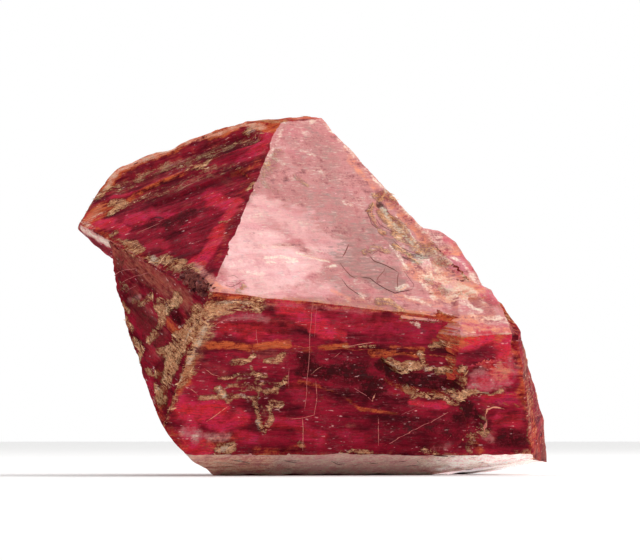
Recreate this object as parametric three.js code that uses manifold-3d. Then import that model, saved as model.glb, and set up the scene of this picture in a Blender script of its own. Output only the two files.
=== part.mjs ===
// A raw spinel crystal, as one closed solid. Millimetres, +Z up, resting on its flat base at z = 0.
// The crystal is a distorted octahedron: each growth face is a plane that trims a block of rough.
// A lip, two side crystals and crust grains are joined to it, and ledges and pits are cut into it.
import * as THREE from 'three';
import { mergeVertices } from 'three/addons/utils/BufferGeometryUtils.js';
import Module from 'manifold-3d';

const wasm = await Module();
wasm.setup();

// ---------------------------------------------------------------- driving dimensions
const NODE_NAME = 'spinel_crystal';
const HEART = [-0.02, -1.305, 7];       // the point that the growth faces are measured from
const ROUGH_SIZE = 60;          // edge of the block of rough, far larger than the crystal

// A growth face is [facing, tilt, distance]: degrees round from the front towards the right,
// degrees up from level, and millimetres from the heart.
const FACES = {
  upperLeft: [-31, 45.5, 6.4],
  upperRight: [27, 34.5, 4.15],
  lowerRight: [21.5, -19.5, 4.81],
  lowerLeft: [-49.5, 6, 8.1],
  roof: [-150, 61, 8.28],
  crest: [-5, 79, 7.93],
  shoulder: [112, 35.5, 5.31],
  flank: [75, 2.5, 8.3],
  rim: [97, 27.5, 6.93],
  tip: [-92, 26.5, 10.63],
  undercut: [-108, -24.5, 6.11],
  ankle: [-104, -30, 6.49],
  toe: [-80, -41, 8.74],
  bevel: [21.5, -66, 6.82],
  heel: [68, -81, 7.59],
  base: [180, -90, 7],
  backUpper: [-158.5, 19.5, 6.3],
  backRight: [130.5, -6, 10.9],
  backLower: [-153, -34.5, 7.3],
  backFoot: [149, -45.5, 10.2],
};

// The lip is the end of the upper left face, which overhangs the lower left one.
const LIP = {
  upperLeft: FACES.upperLeft,
  roof: FACES.roof,
  tip: FACES.tip,
  under: [-64, -31.5, 5.88],
  chin: [-125, -59, 1.45],
  backUpper: [-140, 15, 8.17],
  inner: [90, 0, -5.17],
};
const UPPER_SIDE_CRYSTAL = {
  front: [27, 34.5, 4.03],
  top: [170, 78.5, 3.54],
  corner: [130, 46.5, 5.27],
  side: [104, 25, 6.55],
  sideLow: [96, 26, 6.78],
  under: [20, -60, 2.86],
  inner: [-80, 0, -2.91],
  back: [165, 10, 4.28],
};
const LOWER_SIDE_CRYSTAL = {
  front: [27, 34.5, 4.25],
  top: [160, 57, 1.47],
  corner: [105, 13, 7.06],
  side: [92, 24, 7.19],
  under: [30, -45, 5.23],
  inner: [-80, 0, -5.37],
  back: [160, 0, 3.72],
};

// The block at the right foot stands out beyond the shoulder as a step.
const FOOT_BLOCK = {
  front: [21.5, -19.5, 4.83],
  top: [40, 50, 3.6],
  back: [160, 20, 5.4],
  brow: [112, 35.5, 6.2],
  flank: FACES.flank,
  rim: [97, 27.5, 7.1],
  backRight: [130.5, -6, 11.6],
  inner: [-80, 0, -4.5],
  under: FACES.bevel,
  heel: FACES.heel,
  base: FACES.base,
};

// Ledges lie below their face by a depth. An outline is [across, up] from the face's middle,
// which is the foot of the line from the heart, with across to the right as the face is seen.
const LEDGES = [
  ['lowerRight', 0.14, [[-5.8, -0.2], [-4.1, 0], [-0.6, 0], [1.2, -0.2], [4.8, -0.4], [5.3, -1.7],
    [4.6, -2.3], [2.6, -2], [1.7, -2.4], [-0.3, -2.5], [-3.8, -2.3], [-5.1, -1.7]]],
  ['lowerRight', 0.42, [[1.4, -0.5], [1.8, -0.8], [2.3, -1.2], [3.4, -1.2], [4.6, -0.8], [4.8, -0.4],
    [5.3, -1.7], [4.6, -2.3], [3.8, -2.3], [2.6, -2], [1.7, -1.7]]],
  ['lowerRight', 0.2, [[5.3, -1.8], [6.8, -2.2], [8.8, -2.1], [8.9, -2.7], [6.5, -2.7], [6.4, -3.2],
    [6.6, -4.1], [6.3, -4.9], [5.2, -4.9], [5.8, -3.7], [5.1, -2.6]]],
  ['lowerRight', 0.15, [[4.8, 0.4], [5.6, 0.5], [7.3, 0.5], [7.5, -0.1], [5.6, -0.1], [4.9, -0.3]]],
  ['upperLeft', 0.14, [[-8.1, 1.3], [-6.6, 2.5], [-4, 3.9], [-2.4, 4.4], [-1.5, 3.8], [-3, 2.9],
    [-5.6, 1.4], [-7.2, 0.3]]],
  ['upperLeft', 0.12, [[-5.4, -0.2], [-3.8, 0.8], [-1.8, 1.9], [-1, 1.5], [-2.3, 0.3], [-4.4, -1.2]]],
  ['upperRight', 0.16, [[1.8, 2.6], [2.5, 3.4], [3.1, 2.6], [4.1, 0.7], [3.9, -0.1], [3.1, -0.4],
    [2.1, 0.2], [1.6, 1.1]]],
  ['upperRight', 0.2, [[3.7, -0.2], [5.2, -0.4], [5.2, -1.6], [4.6, -2], [3.6, -1.4]]],
  ['upperRight', 0.16, [[4.3, -2.1], [5.1, -1.9], [6.1, -3.3], [4.9, -3.5]]],
  ['backUpper', 0.3, [[-6, 1], [-1, 2.2], [3, 1.6], [5, 3.4], [8, 2], [8, 7], [-6, 7]]],
  ['backUpper', 0.35, [[-4, -3.5], [0.5, -1.6], [2.2, -2.6], [6, -2], [6, -7], [-4, -7]]],
  ['backRight', 0.35, [[-6, 0.5], [-2, 1.4], [-0.5, 0.6], [2, 1.2], [6, 0.4], [6, 7], [-6, 7]]],
  ['backLower', 0.3, [[-6, -1], [-1, 0.2], [1, -0.8], [6, 0], [6, -6], [-6, -6]]],
  ['undercut', 0.25, [[-5, 1], [-1, 2], [1.5, 1.2], [5, 2.6], [5, 7], [-5, 7]]],
  ['roof', 0.25, [[-8, -1], [-3, -2.2], [0, -1.4], [4, -2.6], [8, -2], [8, -8], [-8, -8]]],
  ['shoulder', 0.3, [[-1.5, -4], [0.5, -1.5], [3, -2.2], [5, 0], [7, -1], [7, -6], [-1.5, -6]]],
];

// Three-sided growth pits: face, across, up and radius.
const PITS = [
  ['upperRight', -3.2, 1.2, 0.35], ['upperRight', -1.6, -0.6, 0.25], ['upperRight', 0.4, 3.4, 0.3],
  ['lowerLeft', -1.6, -1.4, 0.35], ['lowerLeft', -0.3, -3.2, 0.3], ['lowerLeft', -2.4, 0.4, 0.25],
  ['backUpper', -2.5, -0.4, 0.6], ['backUpper', 1.8, 0.3, 0.45], ['backUpper', 4.2, -0.8, 0.5],
  ['backRight', -1.2, -1.6, 0.55], ['backRight', 1.6, -0.6, 0.4], ['shoulder', 1.2, 1.6, 0.4],
  ['shoulder', 3.4, 2.4, 0.3], ['roof', -2.2, 1.2, 0.45], ['roof', 2.4, 0.4, 0.5],
  ['undercut', -0.8, -0.6, 0.5], ['undercut', 1.6, -2.2, 0.4], ['flank', 0.6, -2.2, 0.25],
];
const PIT_DEPTH = 0.5;          // of the pit's radius

// Crust: rows of grown-on grains along a line on a face, as [face, from, to, count, spread, size].
const CRUST = [
  ['upperLeft', [-6, -2.3], [-0.3, -5.6], 16, 0.25, 0.3],
  ['lowerRight', [-6.4, 1.7], [-7.8, -3.2], 18, 0.4, 0.26],
  ['lowerRight', [-6, 1.3], [-6.9, -2.4], 8, 0.3, 0.2],
  ['lowerRight', [-4.9, -1.9], [-1.4, -1.7], 10, 0.35, 0.18],
  ['lowerRight', [1.9, -0.8], [4.9, -0.8], 10, 0.2, 0.2],
  ['lowerRight', [2.4, -2.2], [5.6, -2.1], 10, 0.2, 0.2],
  ['upperLeft', [-8.7, 0.9], [-6.6, -1.6], 7, 0.35, 0.24],
  ['upperLeft', [-4.6, 1.2], [-2.6, 2.4], 5, 0.2, 0.2],
  ['upperRight', [1.7, 2.4], [3.9, -0.2], 10, 0.3, 0.24],
  ['lowerLeft', [-3.2, 0.6], [0.2, -3.8], 9, 0.5, 0.24],
  ['backUpper', [-3, 3], [3, 2.4], 9, 0.5, 0.34],
  ['backRight', [-2, 0.8], [3, 0.4], 8, 0.4, 0.32],
  ['backLower', [-3, 0.2], [3, 0], 8, 0.5, 0.3],
];
const DARK_GRAIN = ['upperLeft', 0.0, -5.75, 0.62];   // face, across, up and radius
const GRAIN_SINK = 0.35;        // of a grain's size, how far its centre lies under the face
const ROOTED = 0.2;             // of a grain's volume, the least that is rooted in the crystal

const MATERIAL = { color: 0x8e1a30, roughness: 0.34, metalness: 0 };

// ---------------------------------------------------------------- solids and directions

function toSolid(geometry) {
  geometry.deleteAttribute('normal');
  geometry.deleteAttribute('uv');
  const merged = mergeVertices(geometry, 1e-5);
  const mesh = new wasm.Mesh({
    numProp: 3,
    vertProperties: new Float32Array(merged.attributes.position.array),
    triVerts: new Uint32Array(merged.index.array),
  });
  return new wasm.Manifold(mesh);
}

function toGeometry(solid) {
  const mesh = solid.getMesh();
  const geometry = new THREE.BufferGeometry();
  geometry.setAttribute('position', new THREE.BufferAttribute(mesh.vertProperties, 3));
  geometry.setIndex(new THREE.BufferAttribute(mesh.triVerts, 1));
  geometry.computeVertexNormals();
  return geometry;
}

// The face's own frame: across, up and outward directions, with its middle as the origin.
function faceMatrix([facing, tilt, distance]) {
  const turn = THREE.MathUtils.degToRad(facing);
  const rise = THREE.MathUtils.degToRad(tilt);
  const across = new THREE.Vector3(Math.cos(turn), Math.sin(turn), 0);
  const outward = new THREE.Vector3(
    Math.sin(turn) * Math.cos(rise),
    -Math.cos(turn) * Math.cos(rise),
    Math.sin(rise),
  );
  const up = new THREE.Vector3().crossVectors(outward, across);
  const middle = new THREE.Vector3(...HEART).addScaledVector(outward, distance);
  return new THREE.Matrix4().makeBasis(across, up, outward).setPosition(middle);
}

// A repeatable stream of numbers from 0 to 1.
function numberStream(seed) {
  let state = seed;
  return () => {
    state = (state * 16807) % 2147483647;
    return state / 2147483647;
  };
}

// ---------------------------------------------------------------- crystals, ledges, pits, crust

// Everything outside a growth face, as a box whose inner side lies on the face.
function outside(face) {
  const box = new THREE.BoxGeometry(3 * ROUGH_SIZE, 3 * ROUGH_SIZE, ROUGH_SIZE);
  box.translate(0, 0, ROUGH_SIZE / 2);
  box.applyMatrix4(faceMatrix(face));
  return toSolid(box);
}

function grownCrystal(faces) {
  const rough = new THREE.BoxGeometry(ROUGH_SIZE, ROUGH_SIZE, ROUGH_SIZE);
  rough.translate(...HEART);
  return Object.values(faces).reduce((solid, face) => solid.subtract(outside(face)), toSolid(rough));
}

function cutLedge(solid, [faceName, depth, outline]) {
  const shape = new THREE.Shape(outline.map(([across, up]) => new THREE.Vector2(across, up)));
  const prism = new THREE.ExtrudeGeometry(shape, { depth: depth + 1, bevelEnabled: false });
  prism.translate(0, 0, -depth);
  prism.applyMatrix4(faceMatrix(FACES[faceName]));
  return solid.subtract(toSolid(prism));
}

function cutPit(solid, [faceName, across, up, radius]) {
  const pit = new THREE.CylinderGeometry(2 * radius, 0.05, 2 * radius * PIT_DEPTH, 3);
  pit.rotateX(Math.PI / 2);
  pit.translate(across, up, 0);
  pit.applyMatrix4(faceMatrix(FACES[faceName]));
  return solid.subtract(toSolid(pit));
}

function grain(faceName, across, up, size, random) {
  const lump = new THREE.IcosahedronGeometry(size, 0);
  lump.scale(0.8 + 0.5 * random(), 0.8 + 0.5 * random(), 0.7 + 0.3 * random());
  lump.rotateX(Math.PI * random());
  lump.rotateZ(Math.PI * random());
  lump.translate(across, up, -GRAIN_SINK * size);
  lump.applyMatrix4(faceMatrix(FACES[faceName]));
  return toSolid(lump);
}

function crustRow([faceName, from, to, count, spread, size], seed) {
  const random = numberStream(seed);
  const grains = [];
  for (let i = 0; i < count; i += 1) {
    const t = (i + 0.3 + 0.4 * random()) / count;
    const across = THREE.MathUtils.lerp(from[0], to[0], t) + spread * (2 * random() - 1);
    const up = THREE.MathUtils.lerp(from[1], to[1], t) + spread * (2 * random() - 1);
    grains.push(grain(faceName, across, up, size * (0.65 + 0.6 * random()), random));
  }
  return grains;
}

// Cutting can leave loose chips beside a ledge. Only the crystal itself is kept.
function largestPiece(solid) {
  const pieces = solid.decompose();
  return pieces.reduce((best, piece) => (piece.volume() > best.volume() ? piece : best));
}

// ---------------------------------------------------------------- the one solid

function crystalSolid() {
  const parts = [FACES, LIP, UPPER_SIDE_CRYSTAL, LOWER_SIDE_CRYSTAL, FOOT_BLOCK];
  let solid = parts.map(grownCrystal).reduce((whole, part) => whole.add(part));
  solid = LEDGES.reduce(cutLedge, solid);
  solid = PITS.reduce(cutPit, solid);
  const grains = CRUST.flatMap((row, i) => crustRow(row, 101 + 37 * i));
  grains.push(grain(...DARK_GRAIN, numberStream(7)));
  const rooted = grains.filter((lump) => solid.intersect(lump).volume() > ROOTED * lump.volume());
  solid = rooted.reduce((whole, lump) => whole.add(lump), solid);
  return largestPiece(solid.subtract(outside(FACES.base)));
}

const crystal = new THREE.Mesh(toGeometry(crystalSolid()), new THREE.MeshStandardMaterial(MATERIAL));
crystal.name = NODE_NAME;

const part = new THREE.Group();
part.add(crystal);

export default part;
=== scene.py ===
import math
import bpy
import numpy as np
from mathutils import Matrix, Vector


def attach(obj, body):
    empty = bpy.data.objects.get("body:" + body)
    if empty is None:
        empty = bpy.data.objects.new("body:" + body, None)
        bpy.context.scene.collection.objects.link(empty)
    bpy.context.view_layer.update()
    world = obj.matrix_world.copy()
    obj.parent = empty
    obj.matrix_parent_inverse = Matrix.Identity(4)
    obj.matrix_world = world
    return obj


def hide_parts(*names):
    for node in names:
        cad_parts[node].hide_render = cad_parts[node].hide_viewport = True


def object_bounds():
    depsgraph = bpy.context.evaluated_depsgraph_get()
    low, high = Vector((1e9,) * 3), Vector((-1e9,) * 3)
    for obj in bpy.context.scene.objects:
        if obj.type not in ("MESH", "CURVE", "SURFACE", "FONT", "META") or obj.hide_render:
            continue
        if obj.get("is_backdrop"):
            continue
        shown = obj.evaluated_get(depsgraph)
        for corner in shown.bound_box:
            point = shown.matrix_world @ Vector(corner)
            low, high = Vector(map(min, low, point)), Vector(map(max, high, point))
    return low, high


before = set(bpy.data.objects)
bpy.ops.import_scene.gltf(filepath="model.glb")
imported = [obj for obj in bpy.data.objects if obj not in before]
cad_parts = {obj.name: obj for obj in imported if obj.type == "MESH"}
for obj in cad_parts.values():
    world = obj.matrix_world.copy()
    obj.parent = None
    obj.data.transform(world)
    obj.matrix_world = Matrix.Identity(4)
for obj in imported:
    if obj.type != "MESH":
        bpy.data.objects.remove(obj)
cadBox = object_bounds()
print("frame loaded")

mm = 0.001                              # metres in a millimetre
heart = np.array([-0.02, -1.305, 7.0])  # mm, the point that the growth faces are measured from
camera = dict(
    place=(0.21, -188.805, 1.6),        # mm
    target=(0.21, -1.305, 8.3),
    lens=247.85,
    sensor=36,                          # mm wide
    reach=(5, 20000),                   # mm, the nearest and furthest that it sees
    view=(640, 560),                    # pixels across and down
)
focal = camera["lens"] / camera["sensor"] * camera["view"][0]   # the lens in pixels
pixelSize = (heart[1] - camera["place"][1]) / focal             # mm, one pixel at the heart

# A growth face is (facing, tilt, distance): degrees round from the front to the right, degrees up
# from level, and millimetres from the heart. A face's middle is its point nearest the heart.
growthFaces = dict(
    upperLeft=(-31, 45.5, 6.4),
    upperRight=(27, 34.5, 4.15),
    lowerRight=(21.5, -19.5, 4.81),
    lowerLeft=(-49.5, 6, 8.1),
    roof=(-150, 61, 8.28),
    crest=(-5, 79, 7.93),
    shoulder=(112, 35.5, 5.31),
    flank=(79, 2.5, 8.75),
    rim=(97, 27.5, 6.93),
    tip=(-92, 26.5, 10.63),
    undercut=(-108, -24.5, 6.11),
    ankle=(-104, -30, 6.49),
    toe=(-80, -41, 8.74),
    bevel=(21.5, -66, 6.82),
    heel=(68, -81, 7.59),
    base=(180, -90, 7),
    backUpper=(-158.5, 19.5, 6.3),
    backRight=(130.5, -6, 10.9),
    backLower=(-153, -34.5, 7.3),
    backFoot=(149, -45.5, 10.2),
)

# What grew onto the main crystal, each part bounded by its own faces and by those it shares.
# Its inner face looks back at the heart, which lies outside it: its distance is negative.
grownOn = dict(
    lip=dict(
        shares=("upperLeft", "roof", "tip"),
        under=(-64, -31.5, 5.88),
        chin=(-125, -59, 1.45),
        behind=(-140, 15, 8.17),
        inner=(90, 0, -5.17),
    ),
    upperSide=dict(
        shares=(),
        front=(27, 34.5, 4.03),
        top=(170, 78.5, 3.54),
        corner=(130, 46.5, 5.27),
        side=(104, 25, 6.55),
        sideLow=(96, 26, 6.78),
        under=(20, -60, 2.86),
        behind=(165, 10, 4.28),
        inner=(-80, 0, -2.91),
    ),
    lowerSide=dict(
        shares=(),
        front=(27, 34.5, 4.25),
        top=(160, 57, 1.47),
        corner=(105, 13, 7.06),
        side=(92, 24, 7.19),
        under=(30, -45, 5.23),
        behind=(160, 0, 3.72),
        inner=(-80, 0, -5.37),
    ),
    footBlock=dict(
        shares=("flank", "bevel", "heel", "base"),
        front=(21.5, -19.5, 4.83),
        top=(40, 50, 3.6),
        behind=(160, 20, 5.4),
        brow=(112, 35.5, 6.2),
        rim=(97, 27.5, 7.1),
        backRight=(130.5, -6, 11.6),
        inner=(-80, 0, -4.5),
    ),
)
# A grown-on part's front runs on from the main crystal's face, with its layers and marks.
runsOn = {
    "upperSide.front": "upperRight",
    "lowerSide.front": "upperRight",
    "footBlock.front": "lowerRight",
    "footBlock.rim": "rim",
    "footBlock.brow": "shoulder",
}

# Ledges lie below their face by a depth in mm. An outline is (across, up) from the face's middle.
ledges = [
    ("lowerRight", 0.14, [(-5.8, -0.2), (-4.1, 0), (-0.6, 0), (1.2, -0.2), (4.8, -0.4), (5.3, -1.7),
                          (4.6, -2.3), (2.6, -2), (1.7, -2.4), (-0.3, -2.5), (-3.8, -2.3), (-5.1, -1.7)]),
    ("lowerRight", 0.28, [(1.4, -0.5), (1.8, -0.8), (2.3, -1.2), (3.4, -1.2), (4.6, -0.8), (4.8, -0.4),
                          (5.3, -1.7), (4.6, -2.3), (3.8, -2.3), (2.6, -2), (1.7, -1.7)]),
    ("lowerRight", 0.2, [(5.3, -1.8), (6.8, -2.2), (8.8, -2.1), (8.9, -2.7), (6.5, -2.7), (6.4, -3.2),
                         (6.6, -4.1), (6.3, -4.9), (5.2, -4.9), (5.8, -3.7), (5.1, -2.6)]),
    ("lowerRight", 0.15, [(4.8, 0.4), (5.6, 0.5), (7.3, 0.5), (7.5, -0.1), (5.6, -0.1), (4.9, -0.3)]),
    ("upperLeft", 0.14, [(-8.1, 1.3), (-6.6, 2.5), (-4, 3.9), (-2.4, 4.4), (-1.5, 3.8), (-3, 2.9),
                         (-5.6, 1.4), (-7.2, 0.3)]),
    ("upperLeft", 0.12, [(-5.4, -0.2), (-3.8, 0.8), (-1.8, 1.9), (-1, 1.5), (-2.3, 0.3), (-4.4, -1.2)]),
    ("upperRight", 0.16, [(1.8, 2.6), (2.5, 3.4), (3.1, 2.6), (4.1, 0.7), (3.9, -0.1), (3.1, -0.4),
                          (2.1, 0.2), (1.6, 1.1)]),
    ("upperRight", 0.2, [(3.7, -0.2), (5.2, -0.4), (5.2, -1.6), (4.6, -2), (3.6, -1.4)]),
    ("upperRight", 0.16, [(4.3, -2.1), (5.1, -1.9), (6.1, -3.3), (4.9, -3.5)]),
    ("upperRight", 0.08, [(3.5, -0.9), (4.6, -0.8), (4.9, -1.3), (4.2, -1.7), (3.4, -1.5)]),
    ("upperRight", 0.1, [(4.4, -1.4), (5.2, -1.2), (5.5, -1.9), (4.8, -2.1)]),
    ("upperRight", 0.08, [(3, -2), (4, -1.9), (4.3, -2.5), (3.2, -2.7)]),
    ("upperRight", 0.12, [(5, -2.3), (5.9, -2.2), (6.3, -3), (5.3, -3)]),
    ("backUpper", 0.3, [(-6, 1), (-1, 2.2), (3, 1.6), (5, 3.4), (8, 2), (8, 7), (-6, 7)]),
    ("backUpper", 0.35, [(-4, -3.5), (0.5, -1.6), (2.2, -2.6), (6, -2), (6, -7), (-4, -7)]),
    ("backRight", 0.35, [(-6, 0.5), (-2, 1.4), (-0.5, 0.6), (2, 1.2), (6, 0.4), (6, 7), (-6, 7)]),
    ("backLower", 0.3, [(-6, -1), (-1, 0.2), (1, -0.8), (6, 0), (6, -6), (-6, -6)]),
    ("undercut", 0.25, [(-5, 1), (-1, 2), (1.5, 1.2), (5, 2.6), (5, 7), (-5, 7)]),
    ("roof", 0.25, [(-8, -1), (-3, -2.2), (0, -1.4), (4, -2.6), (8, -2), (8, -8), (-8, -8)]),
    ("shoulder", 0.3, [(-1.5, -4), (0.5, -1.5), (3, -2.2), (5, 0), (7, -1), (7, -6), (-1.5, -6)]),
]

# Growth lines of each face: their slope in degrees as the face is seen, the height of the steps
# between them in mm, and the height of its broken roughness in mm.
faceGrain = dict(
    upperLeft=(28.5, 0.035, 0.018),
    upperRight=(2, 0.012, 0.012),
    lowerRight=(-1, 0.05, 0.02),
    lowerLeft=(-30, 0.03, 0.05),
    roof=(-12, 0.06, 0.04),
    crest=(0, 0.02, 0.04),
    shoulder=(-35, 0.06, 0.04),
    flank=(12, 0.03, 0.04),
    rim=(20, 0.03, 0.04),
    tip=(10, 0.02, 0.05),
    undercut=(5, 0.05, 0.04),
    ankle=(5, 0.03, 0.05),
    toe=(5, 0.03, 0.05),
    bevel=(0, 0.008, 0.012),
    heel=(0, 0.008, 0.012),
    base=(0, 0, 0),
    backUpper=(8, 0.06, 0.03),
    backRight=(-5, 0.05, 0.04),
    backLower=(20, 0.05, 0.04),
    backFoot=(0, 0.03, 0.03),
)

# Marks on the growth faces, placed as the camera sees them. For each finish: strokes of half width
# in pixels, strength, and then their points, in pixels across and down the camera's view. Frost and
# cream marks are partly painted sheen and highlights, and the marks of the emitted glow are painted glow.
faceMarks = {}
faceMarks["upperLeft"] = dict(
    frostAndSheen=[
        (4, 0.35, (106, 186), (118, 170), (150, 156), (180, 144), (200, 138), (222, 133), (245, 124),
         (262, 126)),
        (6, 0.3, (90, 216), (98, 210), (102, 206)), (5, 0.7, (196, 268), (205, 277), (213, 286)),
        (3, 0.3, (150, 172), (175, 160), (205, 150)),
    ],
    rust=[
        (6, 1.6, (106, 186), (118, 170), (150, 156), (180, 144), (200, 138), (222, 133)),
        (6, 1.6, (225, 130), (245, 124), (262, 126), (275, 128)),
        (4, 0.9, (128, 199), (150, 187), (165, 180), (182, 175)),
        (4, 0.5, (182, 175), (200, 165), (215, 157), (235, 149)),
        (5, 0.5, (232, 172), (245, 170), (256, 164)), (7, 1.4, (90, 216), (98, 210), (102, 206)),
        (2.5, 0.7, (83, 223), (98, 230), (112, 240), (130, 246), (150, 258)),
        (2.5, 0.3, (276, 130), (264, 157), (250, 184), (240, 208), (228, 235), (216, 262)),
        (6, 0.6, (196, 266), (205, 276), (213, 286)),
        (14, 0.3, (110, 190), (150, 168), (200, 148), (246, 134)),
        (7, 0.35, (268, 142), (250, 176), (232, 210), (214, 245)),
        (7, 0.9, (86, 222), (98, 214), (110, 206)),
    ],
    glow=[
        (9, 1, (90, 218), (100, 220), (108, 222)), (8, 0.8, (258, 152), (262, 141), (268, 131)),
        (9, 0.9, (207, 192), (216, 200), (228, 206)),
        (7, 1, (234, 203), (224, 222), (213, 243), (203, 260)), (6, 1, (193, 261), (203, 262)),
        (8, 0.75, (128, 217), (148, 217), (168, 214)), (5, 0.5, (157, 165), (172, 160), (185, 157)),
        (5, 0.8, (100, 228), (115, 226), (125, 232)), (5, 0.5, (240, 160), (250, 158)),
        (6, 0.5, (150, 243), (165, 246)), (4, 0.6, (110, 198), (130, 193)),
        (4, 0.5, (170, 190), (195, 178), (215, 170)),
    ],
    dark=[
        (4, 0.55, (108, 192), (130, 183), (155, 172), (180, 161)),
        (6, 0.6, (185, 160), (215, 150), (235, 142)),
        (8, 0.5, (150, 203), (180, 193), (210, 181), (240, 168)),
        (9, 0.7, (155, 222), (172, 224), (190, 213)), (9, 0.45, (178, 240), (185, 252), (178, 256)),
    ],
    dust=[
        (3.5, 0.6, (118, 184), (145, 173), (170, 164)), (3, 0.55, (160, 179), (182, 172), (200, 168)),
        (4, 0.4, (190, 178), (215, 177), (230, 183)), (3, 0.4, (180, 205), (190, 202)),
        (1.5, 0.6, (158, 223), (148, 228), (136, 233)), (1.5, 0.5, (176, 191), (190, 184), (200, 180)),
        (12, 0.3, (125, 190), (180, 165), (240, 145)),
    ],
    crust=[
        (4, 0.8, (97, 199), (104, 192), (112, 186)), (5, 1, (113, 203), (121, 202)),
        (5, 1, (111, 213), (118, 208), (124, 204)), (2.5, 0.8, (112, 235), (116, 231)),
        (3.5, 0.9, (126, 242), (134, 244), (141, 250)), (4, 1, (149, 257), (155, 264)),
        (6, 0.9, (163, 256), (170, 262), (178, 265), (186, 268)),
        (4, 0.8, (191, 266), (196, 276), (200, 282)), (2, 0.8, (160, 165), (165, 160)),
        (2, 0.7, (142, 173), (148, 170)), (4, 0.8, (190, 168), (200, 166), (207, 161)),
        (3, 0.7, (218, 156), (226, 152)), (2.5, 0.8, (243, 133), (250, 129)),
        (2, 0.7, (236, 169), (246, 166)), (1.5, 0.8, (220, 222), (227, 221)),
        (2, 0.7, (252, 182), (249, 190)),
        (9, 0.4, (120, 186), (150, 172), (190, 158), (230, 142), (252, 136)),
        (9, 0.35, (130, 205), (165, 190), (200, 176), (240, 166)),
    ],
    # Cream here is partly painted glints: small white specks along the growth lines and the top rim.
    creamAndHighlight=[
        (3, 0.9, (152, 257), (155, 262)), (1.5, 0.7, (247, 132), (252, 130)),
        (1.5, 0.7, (82, 222), (95, 227), (94, 231)), (1.5, 0.8, (214, 136), (222, 134)),
        (1.5, 0.8, (134, 163), (142, 160)), (1.5, 0.7, (168, 150), (176, 147)),
        (5, 0.5, (106, 186), (118, 170), (150, 156), (180, 144), (200, 138), (222, 133)),
        (5, 0.45, (225, 130), (245, 124), (262, 126)), (4, 0.5, (90, 220), (102, 212)),
    ],
)
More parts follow.
